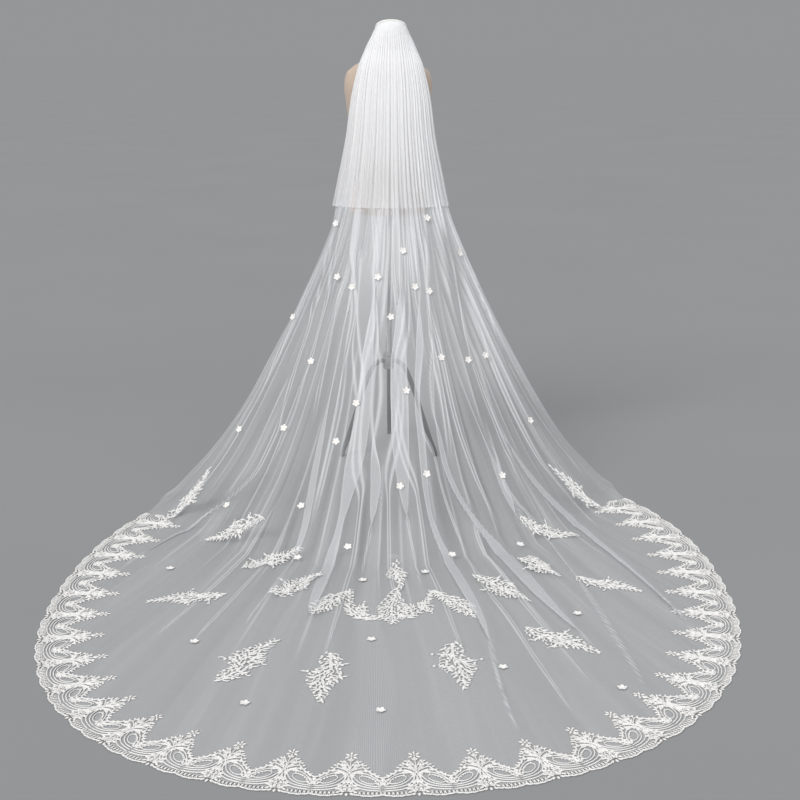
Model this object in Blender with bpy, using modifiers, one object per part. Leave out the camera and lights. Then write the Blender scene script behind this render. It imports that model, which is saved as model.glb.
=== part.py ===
"""Two-tier bridal veil with a lace-edged train, worn by a limbless dress form on a tripod.

Metres, +Z up. The form stands on the floor at z = 0 and faces +Y. The veil falls down its
back and the train runs out towards -Y. Every size here is given from the form's pole; at the
end an empty moves the whole, so that the origin is on the floor under its middle.
"""

import math
from typing import NamedTuple

import bmesh
import bpy
import numpy as np
from mathutils import Vector
from mathutils.bvhtree import BVHTree

# ---- cloth, in metres -------------------------------------------------------
GAP = 0.0003          # between pieces that touch
WALL = 0.0010         # thickness of every cloth wall, square to its flanks
PLEATS = 34           # folds gathered into the header, edge to edge
PLEAT_WANDER = 0.30   # how far a pleat's lines stray, as a share of their even spacing
PLEAT_SHARE = 0.55    # the shallowest pleat's share of the section's depth
PLEAT_SEEDS = (0.13, 0.37)        # for the places and the depths of the pleats
STEEPEST = 3.0        # the wall is thickened for flanks up to this slope
ARC_TOP = 95.0        # half angle of the cloth over the neck cap, degrees
ARC_FLOOR = 80.0      # half angle of the cloth's section where it meets the floor
SWAY = 0.012          # the whole fall hangs this far to the right
SETTLED = 0.25        # share of the fall's height in which its arc comes about
TRAIN_TURN = 0.08     # the train's right side starts this much further forward, per metre of x



class FallSection(NamedTuple):
    """One section of the long tier, level but for the first ones, which arch over the cap."""

    height: float         # of its middle
    half_width: float
    middle_back: float    # how far its middle lies behind the pole
    edge_back: float      # the same for its side edges
    edge_drop: float      # how far its side edges hang below its middle
    pleat_depth: float


# From the header to the floor.
FALL = [FallSection(*row) for row in (
    (1.7438, 0.0600, 0.0330, -0.0040, 0.0300, 0.0008),
    (1.7350, 0.0680, 0.0500, -0.0020, 0.0400, 0.0012),
    (1.7130, 0.0760, 0.0610, 0.0050, 0.0330, 0.0018),
    (1.6850, 0.0850, 0.0690, 0.0150, 0.0200, 0.0025),
    (1.6400, 0.0980, 0.0810, 0.0360, 0.0060, 0.0034),
    (1.5700, 0.1220, 0.1040, 0.0680, 0.0000, 0.0055),
    (1.4500, 0.1490, 0.1250, 0.0860, 0.0000, 0.0080),
    (1.3000, 0.1680, 0.1520, 0.0980, 0.0000, 0.0110),
    (1.1700, 0.1860, 0.1920, 0.1130, 0.0000, 0.0140),
    (1.0400, 0.2080, 0.2450, 0.1350, 0.0000, 0.0165),
    (0.8500, 0.2800, 0.3600, 0.1900, 0.0000, 0.0190),
    (0.6600, 0.3720, 0.5000, 0.2620, 0.0000, 0.0205),
    (0.4800, 0.4680, 0.6650, 0.3370, 0.0000, 0.0205),
    (0.3200, 0.5630, 0.8400, 0.4080, 0.0000, 0.0185),
    (0.1800, 0.6680, 1.0200, 0.4660, 0.0000, 0.0150),
    (0.0800, 0.7650, 1.1700, 0.5070, 0.0000, 0.0110),
    (0.0220, 0.8250, 1.2720, 0.5250, 0.0000, 0.0075),
    (0.0000, 0.8600, 1.3450, 0.5350, 0.0000, 0.0055),
)]
SHORT_ROWS = 10       # the short tier ends at the tenth section
TRAIN_ROWS = 6        # rows of the train between the floor line and the hem
SHORT_STANDOFF = 0.0040   # how far the short tier's hem stands off the long tier
SHORT_PLEAT = 0.0060      # depth of the short tier's own pleats at its hem
SHORT_SHARE = 0.50        # its shallowest pleat's share of that
SHORT_SEED = 0.71
SHORT_SETTLED = 0.60      # share of the short tier's height in which it comes to stand off

# ---- train outline, a superellipse on the floor ------------------------------
TRAIN_CENTRE = (0.026, -1.500)
TRAIN_HALF_WIDTH = 1.039
TRAIN_BEHIND = 1.192      # from the centre back to the hem
TRAIN_AHEAD = 1.300       # the same ellipse's reach towards the form
TRAIN_SQUARENESS = 2.25
TRAIN_SLANT = 0.030       # the outline leans this much to the left, per metre behind its centre
TRAIN_START, TRAIN_END = -119.0, 128.0    # degrees round the centre, 0 at the hem's middle
HEM_INSET = 0.014         # the tulle's cut edge inside the lace's outer edge


class RunningFold(NamedTuple):
    """One fold that runs out over the train."""

    across: float         # from -1 to 1
    height: float         # at the floor line
    reach: float          # how much of the way to the hem it goes


RUNNING_FOLDS = [RunningFold(*row) for row in (
    (-0.60, 0.011, 0.42),
    (-0.44, 0.008, 0.40),
    (-0.24, 0.020, 0.62),
    (-0.14, 0.022, 0.60),
    (0.03, 0.008, 0.42),
    (0.175, 0.018, 0.70),
    (0.24, 0.014, 0.66),
    (0.355, 0.015, 0.66),
    (0.58, 0.011, 0.42),
)]
FOLD_REACH_LOW = 0.28     # how far the other folds run out
FOLDS_SETTLE = 0.350      # below this height the folds take on their shape on the floor
CALM_FROM, CALM_OVER = 0.42, 0.24     # across the cloth, where the outer pleats die away

# ---- lace border --------------------------------------------------------------
REPEATS = 31
SPIRE = 0.190             # outer edge to the tip of a spire
VALLEY = 0.100            # outer edge to the valley between two spires


class InnerPoint(NamedTuple):
    """A point of one repeat's inner edge."""

    place: float          # share of a repeat from the spire; the valley is at 0.5
    rise: float           # share of the way from valley to spire


class OuterPoint(NamedTuple):
    """A point of one repeat's outer edge."""

    place: float
    proud: float          # metres out from the line that the lace follows


INNER_EDGE = (InnerPoint(0.10, 0.60), InnerPoint(0.22, 0.34), InnerPoint(0.37, 0.12))
OUTER_EDGE = (OuterPoint(0.00, 0.004), OuterPoint(0.15, -0.006), OuterPoint(0.36, 0.008))
EYE_PLACE = 0.215         # share of a repeat from the spire to the middle of each eye
EYE_INWARD = 0.080        # metres in to it from the line that the lace follows
EYE_HALF_WIDTH = 0.017
EYE_HALF_LENGTH = 0.025
EYE_LEAN = 24.0           # degrees
EYE_SIDES = 6

# ---- sprigs, garland and blossoms on the tulle --------------------------------

class Sprig(NamedTuple):
    """One leafy spray on the train, by its middle."""

    x: float
    y: float
    heading: float        # of its tip, degrees from +X
    length: float


SPRIGS = [Sprig(*row) for row in (
    (-0.722, -0.785, 54.0, 0.225),
    (-0.522, -1.084, 183.0, 0.207),
    (-0.376, -1.284, 34.0, 0.220),
    (-0.283, -1.488, 48.0, 0.230),
    (-0.610, -1.582, 195.0, 0.240),
    (-0.381, -2.005, 61.0, 0.290),
    (-0.158, -2.105, 269.0, 0.290),
    (0.208, -2.039, 273.0, 0.280),
    (0.361, -1.522, 309.0, 0.250),
    (0.512, -1.884, 319.0, 0.255),
    (0.497, -1.352, 308.0, 0.195),
    (0.568, -1.041, 348.0, 0.210),
    (0.694, -0.732, 168.0, 0.205),
    (0.710, -1.476, 330.0, 0.220),
)]
SPRIG_HALF_WIDTH = 0.046
SPRIG_STEM = 0.30         # half width between two leaves, as a share of that
LEAVES = 4                # pairs of leaves on a sprig
APPLIQUE_THICK = 0.0012


class GarlandPoint(NamedTuple):
    """A point of the garland's outline, about its middle."""

    aside: float
    ahead: float          # towards the form


GARLAND_MIDDLE = (0.032, -1.565)
# Its right half, from the top of its spire down to its lowest tip.
GARLAND_HALF = [GarlandPoint(*row) for row in (
    (0.000, 0.255), (0.012, 0.214), (0.030, 0.206), (0.014, 0.172), (0.042, 0.150),
    (0.016, 0.118), (0.036, 0.084), (0.010, 0.056), (0.012, 0.014), (0.046, 0.002),
    (0.028, -0.030), (0.064, -0.038), (0.058, -0.072), (0.086, -0.058), (0.098, -0.008),
    (0.112, -0.034), (0.140, 0.020), (0.152, -0.030), (0.190, -0.034), (0.194, -0.078),
    (0.234, -0.108), (0.258, -0.196), (0.206, -0.150), (0.182, -0.186), (0.158, -0.132),
    (0.122, -0.160), (0.100, -0.112), (0.082, -0.162), (0.054, -0.128), (0.046, -0.184),
    (0.020, -0.168), (0.022, -0.214), (0.000, -0.250),
)]
BLOSSOM_RADIUS = 0.0125
BLOSSOM_NOTCH = 0.62      # how far in the notch between two petals reaches
BLOSSOM_THICK = 0.0016
BLOSSOM_TURN = 40.0       # degrees from one blossom to the next


class HangingBlossom(NamedTuple):
    """A blossom on the hanging cloth."""

    x: float
    height: float


class LyingBlossom(NamedTuple):
    """A blossom on the train or the last of the slope."""

    x: float
    y: float


HANGING_BLOSSOMS = [HangingBlossom(*row) for row in (
    (-0.205, 0.980), (0.152, 1.005), (0.058, 0.891), (-0.187, 0.795), (-0.135, 0.768),
    (-0.037, 0.798), (0.157, 0.749), (0.013, 0.664), (-0.368, 0.640), (-0.281, 0.517),
    (0.199, 0.528), (0.302, 0.508), (0.072, 0.438), (-0.112, 0.401), (-0.372, 0.316),
    (-0.180, 0.289), (0.535, 0.290), (-0.555, 0.270), (0.141, 0.206), (0.411, 0.171),
)]
LYING_BLOSSOMS = [LyingBlossom(*row) for row in (
    (-0.125, -1.249), (0.452, -1.175), (-0.036, -1.881), (-0.354, -2.257), (-0.002, -2.299),
    (0.329, -2.057), (0.577, -1.701), (0.635, -2.174), (-0.702, -1.347), (-0.538, -1.894),
)]

# ---- header, form and stand ----------------------------------------------------
HEADER_WIDTH = 0.0090     # from the tiers' gathered tops up over the neck cap
HEADER_THICK = 0.0040
NECK_TOP = 1.706
CAP_RADIUS = 0.0462
CAP_EDGE = 1.713          # its side stands upright up to here
CAP_TOP = 1.748
CAP_SQUARENESS = 2.2      # of the dome's profile; 2 is an ellipse
CAP_RINGS = 5


class FormSection(NamedTuple):
    """One oval section of the form."""

    height: float
    half_width: float
    front: float          # how far its front lies from the pole
    back: float


# From the neck to the hip.
FORM = [FormSection(*row) for row in (
    (NECK_TOP, 0.050, 0.050, 0.050),
    (1.660, 0.051, 0.050, 0.050),
    (1.630, 0.060, 0.050, 0.053),
    (1.600, 0.092, 0.050, 0.058),
    (1.575, 0.136, 0.052, 0.062),
    (1.545, 0.166, 0.058, 0.070),
    (1.500, 0.174, 0.078, 0.086),
    (1.420, 0.166, 0.106, 0.096),
    (1.320, 0.147, 0.118, 0.092),
    (1.230, 0.126, 0.100, 0.084),
    (1.170, 0.120, 0.092, 0.084),
    (1.100, 0.140, 0.098, 0.100),
    (1.030, 0.158, 0.104, 0.112),
    (1.000, 0.156, 0.102, 0.110),
)]
FORM_SIDES = 24
POLE_RADIUS = 0.0125
COLLAR_RADIUS = 0.024
STAND_SIDES = 12          # flats on the pole and its collar, one of them facing each leg
COLLAR_BOTTOM, COLLAR_TOP = 0.350, 0.415
FLANGE_RADIUS = 0.050
FLANGE_HEIGHT = 0.008
LEG_RADIUS = 0.0095
LEG_ANGLES = (90.0, 210.0, 330.0)


class LegPoint(NamedTuple):
    """A point of a leg's centre line."""

    radius: float         # from the pole
    height: float


# From the collar to the floor.
LEG_ROUTE = [LegPoint(*row) for row in (
    (COLLAR_RADIUS * math.cos(math.pi / STAND_SIDES) + GAP, 0.385),
    (0.042, 0.385),
    (0.070, 0.370),
    (0.096, 0.330),
    (0.130, 0.250),
    (0.165, 0.158),
    (0.198, 0.070),
    (0.216, 0.030),
    (0.222, 0.012),
    (0.222, 0.000),
)]


# ---- helpers --------------------------------------------------------------------
def fresh_scene():
    """Empties the scene and returns the collection that the veil goes in."""
    for thing in list(bpy.data.objects):
        bpy.data.objects.remove(thing, do_unlink=True)
    group = bpy.data.collections.new("bridal_veil")
    bpy.context.scene.collection.children.link(group)
    return group


def finish(name, colour, roughness, metallic=0.0):
    """A plain Principled material."""
    material = bpy.data.materials.new(name)
    material.use_nodes = True
    shader = material.node_tree.nodes["Principled BSDF"]
    shader.inputs["Base Color"].default_value = (*colour, 1.0)
    shader.inputs["Roughness"].default_value = roughness
    shader.inputs["Metallic"].default_value = metallic
    return material


def add(group, name, mesh, material):
    """Puts a mesh in the scene as the named piece."""
    piece = bpy.data.objects.new(name, mesh)
    mesh.materials.clear()
    mesh.materials.append(material)
    group.objects.link(piece)
    return piece


def wall_mesh(name, inner, outer):
    """A closed wall between two grids of points, rows x columns x 3, outer on the outside."""
    rows, columns, _ = inner.shape
    points = np.concatenate([inner.reshape(-1, 3), outer.reshape(-1, 3)])
    index = np.arange(rows * columns).reshape(rows, columns)
    shift = rows * columns
    faces = []
    for i in range(rows - 1):
        for j in range(columns - 1):
            a, b = index[i, j], index[i, j + 1]
            c, d = index[i + 1, j + 1], index[i + 1, j]
            faces += [(a, b, c), (a, c, d)]
            faces += [(a + shift, c + shift, b + shift), (a + shift, d + shift, c + shift)]
    rim = list(index[0]) + list(index[1:, -1]) + list(index[-1, -2::-1]) + list(index[-2:0:-1, 0])
    for a, b in zip(rim, rim[1:] + rim[:1]):
        faces += [(b, a, a + shift), (b, a + shift, b + shift)]
    mesh = bpy.data.meshes.new(name)
    mesh.from_pydata([tuple(p) for p in points], [], [tuple(int(k) for k in f) for f in faces])
    mesh.update()
    return mesh


def plate_mesh(name, outlines, thickness):
    """A flat plate from closed outlines; those inside the first one are holes."""
    curve = bpy.data.curves.new(name, "CURVE")
    curve.dimensions = "2D"
    curve.fill_mode = "BOTH"
    curve.extrude = thickness / 2
    for outline in outlines:
        spline = curve.splines.new("POLY")
        spline.points.add(len(outline) - 1)
        for point, (x, y) in zip(spline.points, outline):
            point.co = (x, y, 0.0, 1.0)
        spline.use_cyclic_u = True
    holder = bpy.data.objects.new(name, curve)
    bpy.context.scene.collection.objects.link(holder)
    graph = bpy.context.evaluated_depsgraph_get()
    mesh = bpy.data.meshes.new_from_object(holder.evaluated_get(graph))
    bpy.data.objects.remove(holder, do_unlink=True)
    shape = bmesh.new()
    shape.from_mesh(mesh)
    bmesh.ops.remove_doubles(shape, verts=shape.verts, dist=0.00001)
    bmesh.ops.triangulate(shape, faces=shape.faces)
    bmesh.ops.recalc_face_normals(shape, faces=shape.faces)
    shape.to_mesh(mesh)
    shape.free()
    return mesh


def ease(t):
    """0 below 0, 1 above 1, smooth between."""
    t = np.clip(t, 0.0, 1.0)
    return t * t * (3.0 - 2.0 * t)


# ---- the long tier's surface ------------------------------------------------------
def train_edge(across, inset=0.0):
    """Points of the train's outline at places from -1 to 1, moved in by inset."""
    angle = np.radians(TRAIN_START + (TRAIN_END - TRAIN_START) * (np.asarray(across) + 1) / 2)
    power = 2.0 / TRAIN_SQUARENESS
    side = np.sign(np.sin(angle)) * np.abs(np.sin(angle)) ** power
    back = np.sign(np.cos(angle)) * np.abs(np.cos(angle)) ** power
    reach = np.where(back > 0, TRAIN_BEHIND, TRAIN_AHEAD)
    x = TRAIN_CENTRE[0] + (TRAIN_HALF_WIDTH - inset) * side - TRAIN_SLANT * reach * back
    y = TRAIN_CENTRE[1] - (reach - inset) * back
    return np.stack([x, y], axis=-1)


def fall_points(across):
    """The hanging part: one section a row, without pleats, rows x columns x 3."""
    height, half_width, middle, edge, drop, _ = (row[:, None] for row in np.array(FALL).T)
    down = 1.0 - height / height[0]
    arc = np.radians(ARC_TOP + (ARC_FLOOR - ARC_TOP) * ease(down / SETTLED))
    angle = across[None, :] * arc
    behind = (np.cos(angle) - np.cos(arc)) / (1 - np.cos(arc))
    x = half_width * np.sin(angle) / np.sin(arc)
    y = TRAIN_TURN * ease(down) * x - (edge + (middle - edge) * behind)
    return np.stack([x + SWAY, y, height - drop * (1 - behind)], axis=-1)


def train_points(across):
    """The part on the floor, from the floor line to the hem."""
    start = fall_points(across)[-1, :, :2]
    hem = train_edge(across, HEM_INSET)
    share = np.linspace(0, 1, TRAIN_ROWS + 1)[1:, None, None]
    flat = start[None] + (hem - start)[None] * share
    return np.concatenate([flat, np.zeros(flat.shape[:2] + (1,))], axis=-1)


def outward(points):
    """Unit normals of a grid of points, pointing away from the form and up."""
    normal = np.cross(np.gradient(points, axis=1), np.gradient(points, axis=0))
    normal /= np.linalg.norm(normal, axis=-1, keepdims=True)
    return -normal


def uneven(index, seed):
    """A share from 0 to 1 for each index, in no visible order."""
    return (index * 0.6180339887 + seed) % 1.0


def pleat_places():
    """Two columns a pleat, unevenly spaced: trough, crest, trough and so on."""
    index = np.arange(2 * PLEATS + 1)
    step = 1.0 / PLEATS
    wander = PLEAT_WANDER * step * (2 * uneven(index, PLEAT_SEEDS[0]) - 1)
    wander[0] = wander[-1] = 0.0
    return -1.0 + step * index + wander


def pleat_heights(across):
    """How far each point stands out of the smooth surface, rows x columns.

    Crests stand out by the section's pleat depth. Towards the floor the outer pleats, which
    run in under the lace, die away, and on the train only the running folds go far.
    """
    index = np.arange(len(across))
    share = index % 2 * (PLEAT_SHARE + (1 - PLEAT_SHARE) * uneven(index, PLEAT_SEEDS[1]))
    height, _, _, _, _, depth = np.array(FALL).T
    low = ease(1 - height / FOLDS_SETTLE)[:, None]
    calm = ease((np.abs(across) - CALM_FROM) / CALM_OVER)[None]
    hanging = depth[:, None] * share * (1 - low * calm)

    start = hanging[-1].copy()
    reach = np.full(len(across), FOLD_REACH_LOW)
    crests = index[1::2]
    for place, rise, run in RUNNING_FOLDS:
        nearest = crests[np.argmin(np.abs(across[crests] - place))]
        start[nearest], reach[nearest] = rise, run
        hanging[:, nearest] = np.maximum(hanging[:, nearest], rise * low[:, 0])
    along = np.linspace(0, 1, TRAIN_ROWS + 1)[1:, None]
    return np.concatenate([hanging, start * (1 - ease(along / reach))])


def flank_wall(points, heights):
    """The wall's thickness along the normal, so that the pleats' flanks are WALL thick."""
    width = np.linalg.norm(np.diff(points, axis=1), axis=-1)
    slope = np.abs(np.diff(heights, axis=1)) / width
    steepest = np.pad(slope, ((0, 0), (1, 1)))
    steepest = np.maximum(steepest[:, 1:], steepest[:, :-1])
    return WALL * np.sqrt(1 + np.minimum(steepest, STEEPEST) ** 2)


def long_tier_layers(base, across):
    """The long tier's inner and outer points, and the way out at each."""
    normal = outward(base)
    on_floor = base[..., 2] <= 0
    normal[on_floor] = (0.0, 0.0, 1.0)
    heights = pleat_heights(across)
    inner = base + normal * heights[..., None]
    outer = inner + normal * flank_wall(base, heights)[..., None]
    return inner, outer, normal


def short_tier_layers(outer, normal):
    """The short tier, made from the long tier's outer points, moved out."""
    outer, normal = outer[:SHORT_ROWS], normal[:SHORT_ROWS]
    index = np.arange(outer.shape[1])
    height = np.array([row.height for row in FALL[:SHORT_ROWS]])[:, None]
    down = (height[0] - height) / (height[0] - height[-1])
    pleat = ((index + 1) // 2) % 2 * (SHORT_SHARE + (1 - SHORT_SHARE) * uneven(index, SHORT_SEED))
    lift = GAP + (SHORT_STANDOFF + SHORT_PLEAT * pleat[None]) * ease(down / SHORT_SETTLED)
    inner = outer + normal * lift[..., None]
    thickness = flank_wall(outer, lift)
    return inner, inner + normal * thickness[..., None]


# ---- lace ---------------------------------------------------------------------
class Border:
    """The line that the lace follows: the train's outline, by metres of its length."""

    STEPS = 2000
    LOOK = 0.04           # how far ahead and behind the line's direction is taken from

    def __init__(self):
        self.points = train_edge(np.linspace(-1, 1, self.STEPS + 1))
        steps = np.linalg.norm(np.diff(self.points, axis=0), axis=1)
        self.run = np.concatenate([[0], np.cumsum(steps)])
        self.length = self.run[-1]

    def point(self, along):
        """The floor point at a distance along the line."""
        return np.array([np.interp(along, self.run, line) for line in self.points.T])

    def at(self, along, inward):
        """The floor point at a distance along the line and a distance in from it."""
        tangent = self.point(along + self.LOOK) - self.point(along - self.LOOK)
        tangent /= np.linalg.norm(tangent)
        return tuple(self.point(along) + inward * np.array([-tangent[1], tangent[0]]))


def lace_outlines():
    """The border's scalloped outline, and an eye on each side of every spire."""
    border = Border()
    pitch = border.length / REPEATS
    outer, inner, eyes = [], [], []
    for k in range(REPEATS):
        middle = (k + 0.5) * pitch
        steps = [(-place, proud) for place, proud in OUTER_EDGE[:0:-1]] + list(OUTER_EDGE)
        outer += [border.at(middle + s * pitch, -proud) for s, proud in steps]
        steps = [(-place, rise) for place, rise in INNER_EDGE[::-1]] + [(0.0, 1.0)] + list(INNER_EDGE)
        inner += [border.at(middle + s * pitch, VALLEY + (SPIRE - VALLEY) * up) for s, up in steps]
        if k < REPEATS - 1:
            inner.append(border.at(middle + pitch / 2, VALLEY))
        for side in (-1, 1):
            eyes.append(eye_outline(border, middle + side * EYE_PLACE * pitch, side))
    start = [border.at(0.0, VALLEY), border.at(0.0, 0.0)]
    end = [border.at(border.length, 0.0), border.at(border.length, VALLEY)]
    return [start + outer + end + inner[::-1]] + eyes


def eye_outline(border, along, side):
    """One oval eye, leaning towards its spire."""
    lean = math.radians(EYE_LEAN * side)
    points = []
    for k in range(EYE_SIDES):
        turn = 2 * math.pi * k / EYE_SIDES
        u, v = EYE_HALF_WIDTH * math.cos(turn), EYE_HALF_LENGTH * math.sin(turn)
        shift = u * math.cos(lean) - v * math.sin(lean)
        depth = u * math.sin(lean) + v * math.cos(lean)
        points.append(border.at(along + shift, EYE_INWARD + depth))
    return points


# ---- sprigs, garland and blossoms ---------------------------------------------------
def sprig_outline(length):
    """A leafy branch along +X about its middle, its leaves largest near the middle."""
    upper = []
    for k in range(LEAVES):
        root = (k + 0.15) / LEAVES - 0.5
        size = 1.0 - 0.55 * abs(2 * (k + 0.5) / LEAVES - 0.9)
        upper.append((length * root, SPRIG_STEM * SPRIG_HALF_WIDTH))
        upper.append((length * (root + 0.62 / LEAVES), size * SPRIG_HALF_WIDTH))
    lower = [(x - 0.03 * length, -0.92 * y) for x, y in upper[::-1]]
    return upper + [(length / 2, 0.0)] + lower


def garland_outline():
    """A spray in the middle, a spire over it and a wing sweeping out on each side."""
    left = [(-aside, ahead) for aside, ahead in GARLAND_HALF[-2:0:-1]]
    return list(GARLAND_HALF) + left


def blossom_outline():
    """Five petals."""
    points = []
    for k in range(10):
        radius = BLOSSOM_RADIUS * (1.0 if k % 2 else BLOSSOM_NOTCH)
        turn = math.pi * k / 5
        points.append((radius * math.cos(turn), radius * math.sin(turn)))
    return points


def grid_tree(points):
    """A search tree of the outer side of a grid of points."""
    rows, columns, _ = points.shape
    index = np.arange(rows * columns).reshape(rows, columns)
    faces = []
    for i in range(rows - 1):
        for j in range(columns - 1):
            a, b = int(index[i, j]), int(index[i, j + 1])
            c, d = int(index[i + 1, j + 1]), int(index[i + 1, j])
            faces += [(a, c, b), (a, d, c)]
    return BVHTree.FromPolygons([tuple(p) for p in points.reshape(-1, 3)], faces)


def cloth_place(found, degrees):
    """Origin, heading in radians and upward direction for a piece laid at a found place."""
    point, normal = found
    return point, math.radians(degrees), normal


class Cloth:
    """The long tier, to lay pieces on: its smooth surface without pleats, and its real one."""

    REACH = 0.30          # how far off the surface a search starts
    ABOVE, BEHIND = 3.0, -4.0     # height and y, well clear of the cloth, that rays start from
    RIDGE_STEPS = 240     # points tried along each fold between two sections
    RIDGE_MARGIN = 0.03   # how far round a plate the cloth's folds are looked at
    FACE_STEPS = 5        # points tried along each side of a plate's face
    FACING = -0.2         # a face turned further than this from way is part of the underside

    def __init__(self, base, outer):
        self.smooth = grid_tree(base)
        self.real = grid_tree(outer)
        share = np.linspace(0, 1, self.RIDGE_STEPS, endpoint=False)[:, None, None, None]
        self.ridges = (outer[None, :-1] * (1 - share) + outer[None, 1:] * share).reshape(-1, 3)

    def below(self, x, y):
        """The smooth surface's point and normal under a place in plan."""
        point, normal, _, _ = self.smooth.ray_cast(Vector((x, y, self.ABOVE)), Vector((0, 0, -1)))
        return point, normal

    def behind(self, x, height):
        """The smooth surface's point and normal at a place seen from behind."""
        point, normal, _, _ = self.smooth.ray_cast(Vector((x, self.BEHIND, height)), Vector((0, 1, 0)))
        return point, normal

    def over(self, tree, point, way):
        """How far along way a surface lies from a point, or None where there is none."""
        start = point + way * self.REACH
        hit, _, _, distance = tree.ray_cast(start, -way, 2 * self.REACH)
        return None if hit is None else self.REACH - distance

    def lay(self, mesh, origin, heading, way, follow):
        """Lays a flat plate at origin, its X turned to heading and its top facing way.

        With follow, its points first take the smooth surface's shape. It is then raised
        along way until GAP is left under it everywhere.
        """
        along = Vector((math.cos(heading), math.sin(heading), 0.0))
        along = (along - way * along.dot(way)).normalized()
        side = way.cross(along)
        for vertex in mesh.vertices:
            x, y, z = vertex.co
            flat = origin + along * x + side * y
            bend = self.over(self.smooth, flat, way) if follow else 0.0
            vertex.co = flat + way * ((bend or 0.0) + z)
        rise = self.clearance(mesh, way)
        for vertex in mesh.vertices:
            vertex.co += way * rise

    def clearance(self, mesh, way):
        """How far a plate moves along way for its underside to clear the real cloth by GAP.

        Points all over the plate's underside are tried against the cloth, and points along
        the cloth's folds against the plate.
        """
        deepest = -self.REACH
        mesh.update()
        under = [face for face in mesh.polygons if face.normal.dot(way) < self.FACING]
        steps = self.FACE_STEPS
        shares = [(i / steps, j / steps) for i in range(steps + 1) for j in range(steps + 1 - i)]
        for face in under:
            a, b, c = (mesh.vertices[k].co for k in face.vertices)
            for s, t in shares:
                found = self.over(self.real, a + (b - a) * s + (c - a) * t, way)
                deepest = max(deepest, found if found is not None else deepest)
        points = [vertex.co for vertex in mesh.vertices]
        plate = BVHTree.FromPolygons(points, [tuple(face.vertices) for face in under])
        low, high = np.min(points, axis=0), np.max(points, axis=0)
        low, high = low - self.RIDGE_MARGIN, high + self.RIDGE_MARGIN
        near = np.all((self.ridges > low) & (self.ridges < high), axis=1)
        for point in self.ridges[near]:
            found = self.over(plate, Vector(point), way)
            deepest = max(deepest, -found if found is not None else deepest)
        return deepest + GAP


# ---- header, form and stand ----------------------------------------------------------
def header_mesh(base, normal):
    """The ribbon band on both tiers' gathered tops, arched over the back of the neck cap."""
    up = base[0] - base[1]
    up /= np.linalg.norm(up, axis=-1, keepdims=True)
    inner = np.stack([base[0] + up * (GAP + HEADER_WIDTH), base[0] + up * GAP])
    return wall_mesh("header", inner, inner + normal[0] * HEADER_THICK)


def torso_mesh():
    """The form: oval sections, fuller in front, lofted from the neck down to the hip."""
    turn = np.linspace(0, 2 * math.pi, FORM_SIDES, endpoint=False)
    shape = bmesh.new()
    rings = []
    for height, half_width, front, back in FORM:
        depth = np.where(np.sin(turn) > 0, front, back)
        ring = zip(half_width * np.cos(turn), depth * np.sin(turn))
        rings.append([shape.verts.new((x, y, height)) for x, y in ring])
    for above, below in zip(rings, rings[1:]):
        for k in range(FORM_SIDES):
            n = (k + 1) % FORM_SIDES
            shape.faces.new((above[k], below[k], below[n], above[n]))
    shape.faces.new(rings[0])
    shape.faces.new(rings[-1][::-1])
    mesh = bpy.data.meshes.new("torso")
    shape.to_mesh(mesh)
    shape.free()
    mesh.shade_smooth()
    return mesh


def neck_cap_mesh():
    """The turned wooden cap on the neck: an upright side and a dome that the header lies on."""
    rise = np.linspace(0, math.pi / 2, CAP_RINGS + 1)[:-1]
    power = 2.0 / CAP_SQUARENESS
    radii = [CAP_RADIUS, *(CAP_RADIUS * np.cos(rise) ** power)]
    heights = [NECK_TOP + GAP, *(CAP_EDGE + (CAP_TOP - CAP_EDGE) * np.sin(rise) ** power)]
    turn = np.linspace(0, 2 * math.pi, FORM_SIDES, endpoint=False)
    shape = bmesh.new()
    rings = [
        [shape.verts.new((radius * math.cos(a), radius * math.sin(a), z)) for a in turn]
        for radius, z in zip(radii, heights)
    ]
    top = shape.verts.new((0, 0, CAP_TOP))
    shape.faces.new(rings[0][::-1])
    for k in range(FORM_SIDES):
        n = (k + 1) % FORM_SIDES
        for below, above in zip(rings, rings[1:]):
            shape.faces.new((below[k], below[n], above[n], above[k]))
        shape.faces.new((rings[-1][k], rings[-1][n], top))
    mesh = bpy.data.meshes.new("neck_cap")
    shape.to_mesh(mesh)
    shape.free()
    return mesh


def add_pole(group, material):
    """The pole, with the flange under the form and the collar that the legs leave."""
    top = FORM[-1].height - GAP
    profile = (
        (0.0, top), (FLANGE_RADIUS, top), (FLANGE_RADIUS, top - FLANGE_HEIGHT),
        (POLE_RADIUS, top - FLANGE_HEIGHT), (POLE_RADIUS, COLLAR_TOP),
        (COLLAR_RADIUS, COLLAR_TOP), (COLLAR_RADIUS, COLLAR_BOTTOM), (0.0, COLLAR_BOTTOM),
    )
    mesh = bpy.data.meshes.new("stand_pole")
    edges = [(k, k + 1) for k in range(len(profile) - 1)]
    mesh.from_pydata([(radius, 0.0, z) for radius, z in profile], edges, [])
    pole = add(group, "stand_pole", mesh, material)
    pole.rotation_euler.z = math.pi / STAND_SIDES
    turn = pole.modifiers.new("turn", "SCREW")
    turn.steps = turn.render_steps = STAND_SIDES
    turn.use_merge_vertices = True
    turn.merge_threshold = 0.0001


def add_leg(group, name, angle, material):
    """One leg: a bent tube from the collar down to its own flat end on the floor."""
    curve = bpy.data.curves.new(name, "CURVE")
    curve.dimensions = "3D"
    curve.bevel_depth = LEG_RADIUS
    curve.bevel_resolution = 2
    curve.use_fill_caps = True
    spline = curve.splines.new("POLY")
    spline.points.add(len(LEG_ROUTE) - 1)
    for point, (radius, height) in zip(spline.points, LEG_ROUTE):
        point.co = (radius, 0.0, height, 1.0)
    curve.materials.append(material)
    leg = bpy.data.objects.new(name, curve)
    leg.rotation_euler.z = math.radians(angle)
    group.objects.link(leg)


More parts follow.
